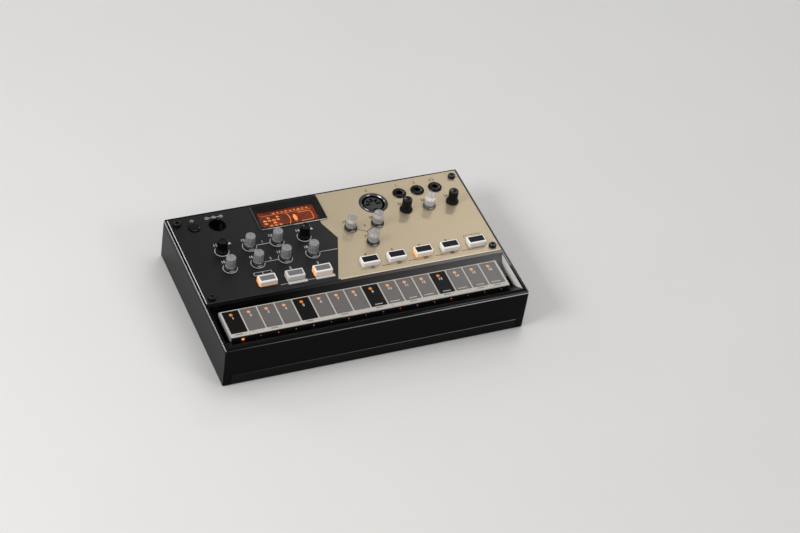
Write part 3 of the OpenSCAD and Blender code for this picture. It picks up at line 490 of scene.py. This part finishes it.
class DRUM_OT_dress_case(bpy.types.Operator):
    """Finish the case mouldings, cheeks, feet, battery door and screws"""
    bl_idname = "drum.dress_case"
    bl_label = "Case"

    def execute(self, context):
        paint(["upper_case"], self.polished_black(colours().case))
        paint(["bottom_cover", "battery_door", "touch_carrier"], self.textured_black())
        silver = Finish("satin_silver", (0.95, 0.93, 0.9), (0.3, 0.42, 300, (1, 1, 6)))
        silver.mottle((0.93, 0.91, 0.88), (0.97, 0.95, 0.92), 90)
        paint(["cheek_left", "cheek_right"], silver)
        rubber = Finish("foot_rubber", grey(0.02), 0.8)
        paint(["rubber_feet"], rubber.grain(1800, 0.05, 0.6).mottle(grey(0.018), grey(0.028), 200))
        black_steel = Finish("black_steel", BLACK, (0.14, 0.26, 700), level=0.25)
        paint(["face_screws"], black_steel, 0.12)
        zinc = Finish("zinc_steel", (0.42, 0.43, 0.45), (0.28, 0.45, 900), 1.0)
        paint(["bottom_screws", "board_screws"], zinc)
        return {"FINISHED"}

    def polished_black(self, case):
        """Polished moulding with painted highlights on its rim bevels and a painted reflection along the
        trough's back wall.
        """
        low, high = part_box("upper_case")
        side_rim, end_rim = 0.5 * MM, 0.35 * MM
        sheen_start, sheen_end = -60 * MM, 92 * MM
        sheen_depth, sheen_height = 14 * MM, 10 * MM
        finish = Finish("polished_black", case, (0.06, 0.14, 60), level=0.045)
        past_side = finish.above(finish.reach("X"), high.x - side_rim)
        past_end = finish.above(finish.reach("Y"), high.y - end_rim)
        near_top = finish.above(finish.axis("Z"), high.z - side_rim)
        edge = finish.times(finish.math("MAXIMUM", past_side, past_end), near_top)
        rightward = finish.ramp("X", low.x, high.x)
        # Painted highlight on the rim bevels: the left side is light grey and fades to near black on the
        # right; the front and back ends are near black on the left and light grey on the right.
        side_rim_highlight = finish.mix(rightward, grey(0.40), grey(0.03))
        end_rim_highlight = finish.mix(rightward, grey(0.03), grey(0.55))
        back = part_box("face_panel")[0].y
        in_trough = finish.times(
            finish.below(finish.axis("Y"), back),
            finish.above(finish.axis("Y"), back - sheen_depth),
            finish.below(finish.reach("X"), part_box("cheek_right")[1].x),
            finish.above(finish.axis("Z"), high.z - sheen_height))
        # Painted reflection: the trough's back wall turns from near black to grey toward the right, as if it
        # mirrored a light.
        painted_sheen = finish.times(finish.math("POWER", finish.ramp("X", sheen_start, sheen_end), 1.5), in_trough)
        body = finish.mix(painted_sheen, case, (0.17, 0.165, 0.16))
        finish.set("Base Color", finish.mix(edge, body, finish.mix(past_side, end_rim_highlight, side_rim_highlight)))
        finish.set("Metallic", finish.between(edge, 0.0, 0.8))
        return finish.grain(900, 0.01, 0.12)

    def textured_black(self):
        """Textured moulding whose lip line carries a painted highlight that grows lighter toward the right.
        """
        low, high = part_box("upper_case")
        body = (0.005, 0.005, 0.0055)
        strip_height, lip_height, wall = 7.3 * MM, 0.3 * MM, 1.5 * MM
        strip_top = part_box("bottom_cover")[0].z + strip_height
        finish = Finish("textured_black", body, (0.42, 0.6, 120), level=0.07)
        outside = finish.above(finish.reach("Y"), high.y - wall)
        lip = finish.times(outside, finish.above(finish.axis("Z"), strip_top - lip_height))
        # Painted highlight on the lip line: near black at the left, light grey at the right.
        line = finish.mix(finish.ramp("X", low.x, high.x), grey(0.012), grey(0.30))
        finish.set("Base Color", finish.mix(lip, body, line))
        return finish.grain(2600, 0.03, 0.5)


class DRUM_OT_dress_panel(bpy.types.Operator):
    """Finish the face panel and print its rings, lines, symbols and numbers"""
    bl_idname = "drum.dress_panel"
    bl_label = "Face panel"

    def execute(self, context):
        c, s = colours(), sizes()
        paint(["face_panel"], self.coat(c))
        light = Finish("light_print", c.print_light, 0.5, level=0.2)
        dark = Finish("dark_print", c.print_dark, 0.4, level=0.15)
        self.print_left(light.mottle(c.print_light, scaled(c.print_light, 0.85), 900).material, s)
        self.print_right(dark.mottle(c.print_dark, scaled(c.print_dark, 1.2), 900).material, s)
        return {"FINISHED"}

    def coat(self, c):
        """Dark and gold coats, with painted highlights on the panel's sloped edges and painted light on the
        dark coat toward the notch.
        """
        coat = Finish("panel_coat", c.dark, 0.4, level=0.12)
        on_gold = coat.above(coat.axis("Z"), GOLD_Z - 0.02 * MM)
        highlit_left_edge = coat.below(coat.facing("X"), -0.3)
        slope = coat.times(coat.below(coat.facing("Z"), 0.9), coat.above(coat.axis("Z"), DARK_Z - 0.5 * MM))
        gold_front, gold_back = -10.5 * MM, 0.0  # X at which the gold half starts
        gold_start = coat.between(coat.below(coat.axis("Y"), 0.0), gold_back, gold_front)
        fleck = coat.patches(5200, detail=1.0, spread=0.15)
        warm = coat.mix(fleck, scaled(c.gold, 0.95), scaled(c.gold, 1.06))
        cloudy = coat.mix(coat.patches(25, detail=2.0), scaled(c.dark, 0.9), scaled(c.dark, 1.2))
        # Painted light: the dark coat grows to 2.6 times its colour toward the notch in the middle.
        toward_notch = coat.ramp("X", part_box("face_panel")[0].x, 0.0)
        dark = coat.mix(toward_notch, cloudy, scaled(c.dark, 2.6))
        # The gold coat wraps the sloped edges of the gold half, and a painted highlight makes them a cream
        # lighter than the gold; the dark edges are lifted to dark grey.
        rims = coat.mix(coat.above(coat.axis("X"), gold_start), grey(0.03), (0.62, 0.56, 0.45))
        face = coat.mix(slope, coat.mix(on_gold, dark, warm), rims)
        # Painted highlight: the left-facing edge is a light grey metal line.
        coat.set("Base Color", coat.mix(highlit_left_edge, face, grey(0.45)))
        metal = coat.math("MAXIMUM", coat.between(on_gold, 0.0, 0.4), coat.times(highlit_left_edge, 0.9))
        coat.set("Metallic", coat.math("MAXIMUM", metal, coat.times(slope, 0.6)))
        roughness = coat.between(on_gold, 0.38, 0.3)
        coat.set("Roughness", coat.math("ADD", roughness, coat.between(fleck, 0.0, 0.05)))
        return coat.grain(5200, 0.004, 0.3)

    def print_left(self, ink, s):
        """Light marks on the dark coat, in millimetres from the knobs and keys that they belong to."""
        z = DARK_Z + LIFT
        place = {k: middle(k) / MM for k in KNOBS if middle(k).x < 0}
        spots = [(k.x * MM, k.y * MM, z) for k in place.values()]
        rings = ring_tree(s.ring_radius - s.ring_width, s.ring_width, ink)
        finished(rings.plain_mesh("light_rings", spots))
        pairs = ((place["knob_amount"], place["knob_rate"]), (place["knob_attack"], place["knob_release"]))
        lines = [bar(a.x + s.ring_radius, a.y, b.x - s.ring_radius, a.y, s.line) for a, b in pairs]
        pitch = place["knob_pitch"]
        lines.append(bar(pitch.x + s.ring_radius, pitch.y, pitch.x + 15.8, pitch.y, s.line))
        for p in (place["knob_level"], place["knob_select"]):
            lines.append([(p.x + 5.5, p.y + 4.9), (p.x + 7.7, p.y + 4.9), (p.x + 6.9, p.y + 6.8)])
        keys = [middle(k) / MM for k in LEFT_KEYS]
        low = keys[0].y - 4.75
        lines += frame_bars(keys[0].x, keys[0].y + 7.4, 11.2, 2.3, s.thin)
        lines += [box_outline(key.x + 0.3, low, 12.2, 2.1, 0.3) for key in keys[1:]]
        lines += [bar(a.x + 6.8, low, b.x - 6.3, low, s.thin) for a, b in zip(keys, keys[1:])]
        lines += self.power_mark(middle("power_button") / MM, s.thin)
        lines += self.supply_mark(middle("power_socket") / MM, s.thin)
        finished(flat_shapes("light_lines", lines, z, ink))
        order = ("level", "amount", "rate", "select", "pan", "attack", "release", "pitch")
        knobs = [place["knob_" + n] for n in order]
        figures = [(str(11 + i), p.x - 2.3, p.y + 5.9, s.figure) for i, p in enumerate(knobs)]
        figures += [(str(i + 1), (a.x + b.x) / 2, a.y + 2.1, s.figure) for i, (a, b) in enumerate(pairs)]
        figures += [(str(i + 1), key.x, key.y + 7.4, s.figure) for i, key in enumerate(keys)]
        finished(numerals("light_numbers", figures, z, ink))

    def power_mark(self, at, width):
        x, y = at.x + 0.4, at.y + 6.2
        return arc_bars(x, y, 0.95, 130, 410, width) + [bar(x, y + 0.1, x, y + 1.3, width)]

    def supply_mark(self, at, width):
        """The plug's polarity: an open ring round a disc, between a minus and a plus in circles."""
        x, y = at.x, at.y + 7.1
        shapes = arc_bars(x, y, 1.1, -60, 240, width) + [disc_outline(x, y, 0.5)]
        for side in (-1, 1):
            sign = x + side * 4.5
            shapes.append(bar(x + side * 1.4, y, x + side * 3.4, y, width))
            shapes += arc_bars(sign, y, 1.05, 0, 360, width)
            shapes.append(bar(sign - 0.5, y, sign + 0.5, y, width))
        shapes.append(bar(x + 4.5, y - 0.5, x + 4.5, y + 0.5, width))
        return shapes

    def print_right(self, ink, s):
        """Dark marks on the gold coat, in millimetres from the pieces that they belong to."""
        z = GOLD_Z + LIFT
        place = {k: middle(k) / MM for k in KNOBS}
        a, b, tip = place["knob_decay"], place["knob_body"], place["knob_tune"]
        fork = ((a.x + b.x) / 2, (a.y + b.y) / 2 - 5.2)
        lines = []
        for p in (a, b, tip):
            run = Vector((fork[0] - p.x, fork[1] - p.y)).normalized() * 4.0
            lines.append(bar(p.x + run.x, p.y + run.y, *fork, s.line))
        keys = [middle(k) / MM for k in RIGHT_KEYS]
        low = keys[0].y - 4.7
        lines += [bar(left.x + 6.1, low, right.x - 5.9, low, s.line) for left, right in zip(keys, keys[1:])]
        last = keys[-1]
        high = last.y + 7.4
        lines.append(bar(last.x - 4.6, low + 0.3, last.x + 4.8, low + 0.3, s.thin))
        lines.append(bar(last.x - 5.2, high, last.x + 5.2, high, s.thin))
        lines += [bar(last.x + x, high, last.x + x, last.y + 5.6, s.thin) for x in (-5.2, 5.2)]
        lines += [disc_outline(key.x, key.y + 6.7, 0.65) for key in keys[2:4]]
        phones = middle("headphone_socket") / MM
        x, y = phones.x + 0.4, phones.y + 7.0
        lines += arc_bars(x, y, 1.3, 0, 180, s.thin, 10)
        lines += [box_outline(x + side * 1.2, y - 0.5, 0.65, 1.3, 0.2) for side in (-1, 1)]
        finished(flat_shapes("dark_lines", lines, z, ink))
        knobs = [place["knob_" + n] for n in ("decay", "body", "tune", "swing", "tempo", "volume")]
        figures = [(str(19 + i), p.x - 1.9, p.y + 5.9, s.figure) for i, p in enumerate(knobs)]
        figures.append(("3", (a.x + b.x) / 2 + 0.4, a.y - 0.1, s.figure))
        figures += [(f"{i + 1}0", key.x, low, s.figure * 1.15) for i, key in enumerate(keys[:4])]
        figures += [(str(i + 4), key.x, key.y + 7.0, s.figure) for i, key in enumerate(keys[:2])]
        note = middle("midi_housing") / MM
        figures.append(("5", note.x - 0.4, note.y + 11.5, s.figure))
        syncs = [middle(n) / MM for n in SOCKETS[:2]]
        figures += [(str(i + 1), at.x + 0.6, at.y + 7.3, s.figure) for i, at in enumerate(syncs)]
        finished(numerals("dark_numbers", figures, z, ink))


class DRUM_OT_dress_knobs(bpy.types.Operator):
    """Finish the black and the clear knobs and the controls under them"""
    bl_idname = "drum.dress_knobs"
    bl_label = "Knobs"

    def clear_finish(self, name, places, skirt, shade, through, glow=0.0):
        """Clear grip with a frosted top, on a skirt with a painted highlight where it faces the front at
        rest.
        """
        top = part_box(places[0])[1].z
        skirt_end, grip_start = top - 6.8 * MM, top - 6.3 * MM
        clear = Finish(name, (0.86, 0.86, 0.87), (0.2, 0.32, 900, (1, 1, 0.2), 2.0), IOR=1.49)
        grip = clear.ramp("Z", skirt_end, grip_start)
        cap = clear.ramp("Z", top - 0.55 * MM, top - 0.2 * MM)
        # Painted highlight: a grey patch on the skirt where it faces the front.
        painted_glint = clear.between(clear.facing("Y"), 1.0, 0.0, -0.96, -0.86)
        skirt_and_glint = clear.mix(painted_glint, skirt, (0.42, 0.42, 0.43))
        clear.set("Base Color", clear.mix(cap, clear.mix(grip, skirt_and_glint, grey(shade)), (0.27, 0.265, 0.27)))
        clearness = clear.times(clear.between(grip, 0.0, through), clear.between(cap, 1.0, 0.3))
        clear.set("Transmission Weight", clearness)
        if glow:
            clear.glow((1.0, 0.93, 0.85, 1.0), clear.times(grip, glow))
        paint(places, clear)

    def execute(self, context):
        black = Finish("black_knob", BLACK, (0.06, 0.14, 800), level=0.16)
        paint([k for k in KNOBS if k in BLACK_KNOBS], black.grain(2400, 0.006, 0.3))
        plain = [k for k in KNOBS if k not in BLACK_KNOBS and k != "knob_tempo"]
        on_gold = [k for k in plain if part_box(k)[0].x > 0.0]
        on_dark = [k for k in plain if k not in on_gold]
        skirt = (0.012, 0.010, 0.014)
        self.clear_finish("clear_knob", on_dark, skirt, 0.62, 0.62)
        # The knobs on the gold half get painted light: a lighter, clearer grip and a faint glow, though no
        # lamp lies under them.
        self.clear_finish("clear_knob_light", on_gold, skirt, 0.95, 0.76, 0.05)
        self.clear_finish("lit_knob", ["knob_tempo"], (0.11, 0.105, 0.105), 0.9, 0.76, 0.16)
        paint(["potentiometers"], Finish("plated_control", (0.03, 0.032, 0.034), (0.3, 0.5, 400), 0.5))
        return {"FINISHED"}


class DRUM_OT_dress_keys(bpy.types.Operator):
    """Finish the keys with their printed fields, lit or unlit, and the power button"""
    bl_idname = "drum.dress_keys"
    bl_label = "Keys"

    def cap_finish(self, name, lit, milk, field, keys):
        """Milky cap whose sunk field is printed; a lit one glows low down and on its left."""
        places = [k for k in keys if (k in LIT_KEYS) == lit]
        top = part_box(places[0])[1].z
        cap = Finish(name, milk, 0.3, level=0.08, Subsurface_Weight=0.35, Subsurface_Scale=0.002)
        cap.set("Subsurface Radius", (1.0, 0.8, 0.6))
        height, upright = cap.axis("Z"), cap.facing("Z")
        printed = cap.times(cap.below(height, top - 0.05 * MM), cap.above(height, top - 0.15 * MM),
                            cap.above(upright, 0.99))
        body = milk
        if lit:
            low_part = cap.between(height, 1.0, 0.0, top - 3.3 * MM, top - 1.6 * MM)
            left_part = cap.between(cap.facing("X"), 1.0, 0.0, -0.9, -0.2)
            sides = cap.between(upright, 1.0, 0.0, 0.3, 0.9)
            amount = cap.times(cap.math("MAXIMUM", cap.times(low_part, 0.5), left_part), sides)
            body = cap.mix(amount, milk, (0.95, 0.58, 0.30))
            cap.glow((1.0, 0.33, 0.09, 1.0), cap.times(amount, 0.5))
        cap.set("Base Color", cap.mix(printed, body, field))
        paint(places, cap.grain(1500, 0.01, 0.2))

    def execute(self, context):
        dark_grey, black = (0.165, 0.163, 0.16), (0.005, 0.005, 0.008)
        milk = colours().cap
        # Painted shade: the left caps are the right caps' milky plastic made darker.
        self.cap_finish("left_cap", False, scaled(milk, 0.66), dark_grey, LEFT_KEYS)
        self.cap_finish("left_cap_lit", True, scaled(milk, 0.84), dark_grey, LEFT_KEYS)
        self.cap_finish("right_cap", False, milk, black, RIGHT_KEYS)
        self.cap_finish("right_cap_lit", True, milk, black, RIGHT_KEYS)
        button = Finish("power_button", DEEP_BLACK, (0.08, 0.16, 500), level=0.15)
        paint(["power_button"], button)
        housing = Finish("switch_housing", (0.03, 0.03, 0.035), 0.5)
        paint(["key_switches", "power_switch"], housing.grain(1500, 0.02))
        return {"FINISHED"}


class DRUM_OT_dress_display(bpy.types.Operator):
    """Finish the bezel, the pane and the lit display, and draw a plain read-out"""
    bl_idname = "drum.dress_display"
    bl_label = "Display"

    def execute(self, context):
        bezel = Finish("bezel_black", BLACK, (0.1, 0.2, 200), level=0.15)
        near_front = bezel.below(bezel.axis("Y"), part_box("display_bezel")[0].y + 1.5 * MM)
        highlit_chamfer = bezel.times(bezel.below(bezel.facing("Y"), -0.5), near_front)
        # Painted highlight: the bezel's sloped front lip is a light grey metal line.
        bezel.set("Base Color", bezel.mix(highlit_chamfer, BLACK, (0.30, 0.29, 0.28)))
        bezel.set("Metallic", bezel.times(highlit_chamfer, 0.8))
        paint(["display_bezel"], bezel)
        pane = Finish("clear_pane", (0.95, 0.93, 0.9), (0.0, 0.05, 150), IOR=1.18, Transmission_Weight=1.0)
        paint(["display_window"], pane)
        glass = Finish("amber_glass", (0.035, 0.007, 0.002), 0.2, level=0.1)
        glass.glow((0.60, 0.075, 0.010, 1.0), glass.times(glass.patches(70, 0.65, 1.2, 0.0), 0.22))
        paint(["display_module"], glass)
        bright = Finish("amber_segments", (0.5, 0.15, 0.03), 0.4)
        bright.glow((1.0, 0.27, 0.055, 1.0), bright.patches(420, 0.35, 1.0, 2.0, 0.15))
        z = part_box("display_module")[1].z + LIFT
        shapes = self.read_out(BEZEL.x / MM, BEZEL.y / MM)
        finished(flat_shapes("display_segments", shapes, z, bright.material))
        return {"FINISHED"}

    def read_out(self, cx, cy):
        """Blocks, an arc, an oval, a frame and a row of dashes, in millimetres about the bezel's centre."""
        shapes = []
        for row in range(4):
            for column in range(4):
                if (row * 5 + column * 3) % 7 > 1:
                    x, y = cx - 15.0 + column * 2.9, cy - 5.3 + row * 2.35
                    shapes.append(box_outline(x, y, 2.2 - 0.3 * (column % 2), 0.75, 0.1))
                    shapes.append(bar(x - 1.0, y + 0.7, x + 0.6, y + 0.9, 0.3))
        shapes += arc_bars(cx - 8.4, cy - 0.8, 9.4, -38, 30, 0.4)
        shapes.append(bar(cx - 16.4, cy + 4.1, cx + 16.2, cy + 4.1, 0.25))
        turns = [a * math.pi / 8 for a in range(16)]
        shapes.append([(cx + 4.3 + 1.25 * math.cos(a), cy - 1.5 + 3.0 * math.sin(a)) for a in turns])
        line = 0.35
        shapes += arc_bars(cx + 14.0, cy + 1.0, 1.6, 0, 90, line, 5)
        shapes += arc_bars(cx + 14.0, cy - 3.4, 1.6, 270, 360, line, 5)
        shapes += [bar(cx + 7.2, cy + y, cx + 14.0, cy + y, line) for y in (2.6, -5.0)]
        shapes.append(bar(cx + 15.6, cy - 3.4, cx + 15.6, cy + 1.0, line))
        for i in range(9):
            x, y, w = cx - 7.6 + i * 2.7, cy + 5.3 + 0.2 * (i % 2), 1.3 + 0.5 * (i % 3 == 0)
            shapes.append(box_outline(x, y, w, 0.8, 0.15))
        return shapes


class DRUM_OT_dress_touch_strip(bpy.types.Operator):
    """Finish the touch plate with its pads, numbers, lamps and lit front edge"""
    bl_idname = "drum.dress_touch_strip"
    bl_label = "Touch strip"

    def execute(self, context):
        c, s = colours(), sizes()
        z = TOUCH_HIGH.z
        smoke = (0.012, 0.012, 0.013)
        acrylic = Finish("dark_acrylic", smoke, (0.03, 0.1, 80), level=0.6)
        # Painted highlight: the plate's cut ends are light grey.
        highlit_ends = acrylic.above(acrylic.math("ABSOLUTE", acrylic.facing("X")), 0.3)
        acrylic.set("Base Color", acrylic.mix(highlit_ends, smoke, grey(0.36)))
        paint(["touch_plate"], acrylic)
        border = Finish("pad_border", c.border, 0.35, level=0.3).mottle(c.border, scaled(c.border, 0.86), 500)
        centre, size = (TOUCH_LOW + TOUCH_HIGH) / 2 / MM, (TOUCH_HIGH - TOUCH_LOW) / MM
        sheet = box_outline(centre.x, centre.y, size.x - 0.7, size.y - 0.7, 0.6)
        finished(flat_shapes("touch_border", [sheet], z + 0.01 * MM, border.material))
        self.pad_faces(c, s, z + LIFT)
        self.pad_print(s, z)
        self.edge_glints(c)
        return {"FINISHED"}

    def pad_faces(self, c, s, z):
        """Printed pads, every fourth one black, with the lamps' light showing through them."""
        grey_pads = [i for i in range(PADS) if i % 4]
        black_pads = [i for i in range(PADS) if i % 4 == 0]
        groups = (("grey_pads", c.pad, 0.3, grey_pads), ("black_pads", BLACK, 0.06, black_pads))
        for name, colour, level, members in groups:
            face = Finish(name, colour, 0.27, level=level)
            along = face.math("SUBTRACT", face.axis("X"), LAMP_XS[0] - PITCH / 2)
            across = face.math("SUBTRACT", face.math("MODULO", along, PITCH), PITCH / 2)
            up = face.math("SUBTRACT", face.axis("Y"), LAMP_Y)
            reach = face.math("SQRT", face.math("ADD", face.times(across, across), face.times(up, up)))
            radius = s.lamp_radius * MM
            spot = face.between(reach, 1.0, 0.0, radius * 0.8, radius * 1.15)
            centre = face.between(reach, 1.0, 0.0, 0.0, radius)
            face.glow(face.mix(centre, (0.86, 0.23, 0.02), (0.95, 0.38, 0.06)), face.times(spot, 0.8))
            face.mottle(colour, scaled(colour, 0.88), 700, 2.0)
            tiles = tile_tree(PITCH / MM - s.pad_line, (PAD_HIGH - PAD_LOW) / MM, 0.5, face.material)
            places = [(PAD_XS[i], (PAD_HIGH + PAD_LOW) / 2, z) for i in members]
            finished(tiles.plain_mesh(name, places))

    def pad_print(self, s, z):
        """Numbers and short dashes on the pads and on their border, in millimetres from them."""
        top = z + 0.05 * MM
        pale = (0.62, 0.60, 0.58)
        ink = Finish("pad_numbers", pale, 0.4).mottle(pale, (0.52, 0.50, 0.48), 900).material
        figures = [(str(i + 1), x / MM + 0.4, LAMP_Y / MM - 2.9, s.figure) for i, x in enumerate(LAMP_XS)]
        finished(numerals("pad_numbers", figures, top, ink))
        dashes, notes = [], []
        low = PAD_LOW / MM
        for i, x in enumerate([place / MM for place in PAD_XS]):
            if i > 7:
                steps = range(-1 - i % 2, 3)
                dashes += [box_outline(x - 0.6 + k * 1.25, low + 1.7, 0.95, 0.55) for k in steps]
            if i % 2 == 0 or i == 15:
                notes += [box_outline(x - 1.2 + k * 1.1, low - 1.15, 0.85, 0.85) for k in range(-1, 3)]
            notes += [box_outline(x + k * 1.5, low - 1.1, 0.9, 0.25) for k in (-2, 2)]
        finished(flat_shapes("pad_dashes", dashes, top, ink))
        dim = (0.07, 0.065, 0.06)
        faint = Finish("border_print", dim, 0.5).mottle(dim, (0.14, 0.13, 0.12), 900)
        finished(flat_shapes("border_dashes", notes, z + LIFT, faint.material))

    def edge_glints(self, c):
        """Lamp light on the plate's front edge: a large one, then small ones of two sizes in turn."""
        glint = Finish("edge_glint", c.lamp, 0.3)
        # Glowing beads paint the lamps' light where it leaves the plate's front edge; they are no lamps
        # themselves.
        glint.glow((1.0, 0.27, 0.06, 1.0), glint.patches(90, 0.12, 0.9, 0.0, 0.15))
        places = [(x + 1.3 * MM, TOUCH_LOW.y - 0.02 * MM, TOUCH_LOW.z + 0.8 * MM) for x in LAMP_XS]
        groups = (("first_glint", 1.0, places[:1]), ("edge_glints", 0.3, places[2::2]),
                  ("faint_glints", 0.2, places[1::2]))
        for name, radius, members in groups:
            glint_beads = glint_tree(radius, 0.6, glint.material)
            finished(glint_beads.plain_mesh(name, members))


class DRUM_OT_dress_sockets(bpy.types.Operator):
    """Finish the sockets on the face, and the battery contacts with the same nickel as a socket's pin"""
    bl_idname = "drum.dress_sockets"
    bl_label = "Sockets"

    def execute(self, context):
        rough = (0.16, 0.3, 900)
        black = Finish("socket_black", DEEP_BLACK, (0.06, 0.14, 600), level=0.16)
        paint(SOCKETS + ["power_socket"], black)
        paint(["midi_housing"], Finish("socket_core", (0.028, 0.027, 0.027), (0.32, 0.5, 600), level=0.25))
        paint(["midi_shell"], Finish("dark_nickel", (0.10, 0.10, 0.103), rough, 1.0))
        paint(["power_socket_pin", "battery_contacts"], Finish("nickel", (0.62, 0.63, 0.65), rough, 1.0))
        paint(["midi_contacts"], Finish("plated_brass", (0.60, 0.42, 0.14), (0.2, 0.32, 900), 1.0))
        return {"FINISHED"}


class DRUM_OT_dress_inside(bpy.types.Operator):
    """Finish the boards, the lamps, the loudspeaker and the battery cells"""
    bl_idname = "drum.dress_inside"
    bl_label = "Inside"

    def execute(self, context):
        board = Finish("green_board", (0.012, 0.10, 0.045), 0.35)
        tracks = {"Vector": board.place, "Scale": 260.0, "Mortar": (0.02, 0.16, 0.07, 1), "Mortar Size": 0.06,
                  "Color1": (0.014, 0.12, 0.05, 1), "Color2": (0.010, 0.085, 0.036, 1)}
        board.set("Base Color", board.node("ShaderNodeTexBrick", tracks).outputs["Color"])
        paint(["main_board", "touch_board"], board)
        lens = Finish("lamp_lens", (0.9, 0.45, 0.15), 0.25)
        lens.glow((1.0, 0.3, 0.05, 1.0), lens.patches(500, 0.8, 1.4, 2.0, 0.5))
        paint(["step_lamps"], lens)
        paint(["speaker_basket"], Finish("speaker_steel", (0.30, 0.31, 0.33), (0.32, 0.5, 300), 0.9))
        paint(["speaker_cone"], Finish("speaker_paper", (0.02, 0.018, 0.016), 0.85).grain(900, 0.08, 0.7))
        sleeve = Finish("cell_sleeve", (0.05, 0.16, 0.27), 0.3, 0.4)
        along = sleeve.math("SUBTRACT", sleeve.axis("Y"), middle("battery_cells").y)
        sleeved = sleeve.below(sleeve.math("ABSOLUTE", along), 19 * MM)
        sleeve.set("Base Color", sleeve.mix(sleeved, (0.55, 0.56, 0.58), (0.04, 0.14, 0.24)))
        sleeve.set("Metallic", sleeve.between(sleeved, 0.9, 0.2))
        paint(["battery_cells"], sleeve)
        return {"FINISHED"}


class DRUM_OT_set_stage(bpy.types.Operator):
    """Set up the floor, the soft lights and the camera"""
    bl_idname = "drum.set_stage"
    bl_label = "Stage"

    def softbox(self, name, place, width, height, power):
        """An area light that faces the drum machine, with its place and size in metres."""
        light = bpy.data.lights.new(name, "AREA")
        light.shape, light.size, light.size_y = "RECTANGLE", width, height
        light.energy = power
        lamp = linked(name, light)
        lamp.location = place
        lamp.rotation_euler = (-Vector(place)).to_track_quat("-Z", "Y").to_euler()

    def execute(self, context):
        stage = context.scene.drum_stage
        finish = Finish("pale_floor", stage.floor, 0.55).mottle(stage.floor, scaled(stage.floor, 0.985), 14)
        ground = flat_shapes("floor", [box_outline(0, 0, 8000, 8000)], -0.05 * MM, finish.material)
        floor = linked("floor", ground)
        self.softbox("back_light", (0.30, 0.25, 1.2), 0.8, 0.6, stage.key_power)
        self.softbox("front_light", (0.74, -1.0, 0.9), 0.54, 0.3, stage.fill_power)
        self.softbox("side_light", (-0.8, -0.15, 0.7), 0.45, 0.3, stage.side_power)
        self.softbox("far_light", (0.96, 1.157, 1.315), 0.5, 0.13, stage.far_power)
        self.softbox("edge_light", (-0.82, 0.77, 0.45), 0.3, 0.3, stage.edge_power)
        self.set_sky(context.scene, stage.sky)
        self.set_camera(context.scene)
        context.scene.view_settings.view_transform = "Standard"
        return {"FINISHED"}

    def set_sky(self, scene, power):
        """Even light; the sky looks brighter than it lights where it is seen, mirrored or shows through."""
        scene.world = bpy.data.worlds.new("sky")
        scene.world.use_nodes = True
        sky = Nodes(scene.world.node_tree)
        path = sky.node("ShaderNodeLightPath").outputs
        mirrored = sky.math("MAXIMUM", path["Is Glossy Ray"], path["Is Transmission Ray"])
        seen = sky.math("MAXIMUM", path["Is Camera Ray"], mirrored)
        strength = sky.node("ShaderNodeMapRange", {"Value": seen, "To Min": power, "To Max": SEEN_SKY})
        background = sky.tree.nodes["Background"].inputs
        sky.feed(background["Color"], (1.0, 0.99, 0.975, 1))
        sky.feed(background["Strength"], strength.outputs[0])

    def set_camera(self, scene):
        camera = bpy.data.cameras.new("camera")
        camera.lens, camera.sensor_width = EYE_LENS, 36.0
        camera.clip_start, camera.clip_end = 0.01, 50
        eye = linked("camera", camera)
        forward = Vector(EYE_FORWARD).normalized()
        side = forward.cross(Vector(EYE_UP).normalized()).normalized()
        turn = Matrix((side, side.cross(forward), -forward)).transposed()
        eye.matrix_world = Matrix.Translation(EYE_PLACE) @ turn.to_4x4()
        scene.camera = eye


class DRUM_PT_panel(bpy.types.Panel):
    """Lists the drum machine's steps, sizes and colours"""
    bl_label = "Drum Machine"
    bl_idname = "DRUM_PT_panel"
    bl_space_type = "VIEW_3D"
    bl_region_type = "UI"
    bl_category = "Drum Machine"

    def draw(self, context):
        for group in ("drum_colours", "drum_sizes", "drum_stage"):
            values = getattr(context.scene, group)
            for key in values.__annotations__:
                self.layout.prop(values, key)
        for step in STEPS:
            self.layout.operator(step.bl_idname)


STEPS = (DRUM_OT_dress_case, DRUM_OT_dress_panel, DRUM_OT_dress_knobs, DRUM_OT_dress_keys,
         DRUM_OT_dress_display, DRUM_OT_dress_touch_strip, DRUM_OT_dress_sockets, DRUM_OT_dress_inside,
         DRUM_OT_set_stage)
GROUPS = {"drum_colours": DrumColours, "drum_sizes": DrumSizes, "drum_stage": DrumStage}


def register():
    for kind in (*GROUPS.values(), *STEPS, DRUM_PT_panel):
        bpy.utils.register_class(kind)
    for name, kind in GROUPS.items():
        setattr(bpy.types.Scene, name, bpy.props.PointerProperty(type=kind))


def unregister():
    for name in GROUPS:
        delattr(bpy.types.Scene, name)
    for kind in reversed((*GROUPS.values(), *STEPS, DRUM_PT_panel)):
        bpy.utils.unregister_class(kind)


def main():
    register()
    bpy.ops.drum.dress_case()
    bpy.ops.drum.dress_panel()
    bpy.ops.drum.dress_knobs()
    bpy.ops.drum.dress_keys()
    bpy.ops.drum.dress_display()
    bpy.ops.drum.dress_touch_strip()
    bpy.ops.drum.dress_sockets()
    bpy.ops.drum.dress_inside()
    bpy.ops.drum.set_stage()


if __name__ == "__main__":
    main()
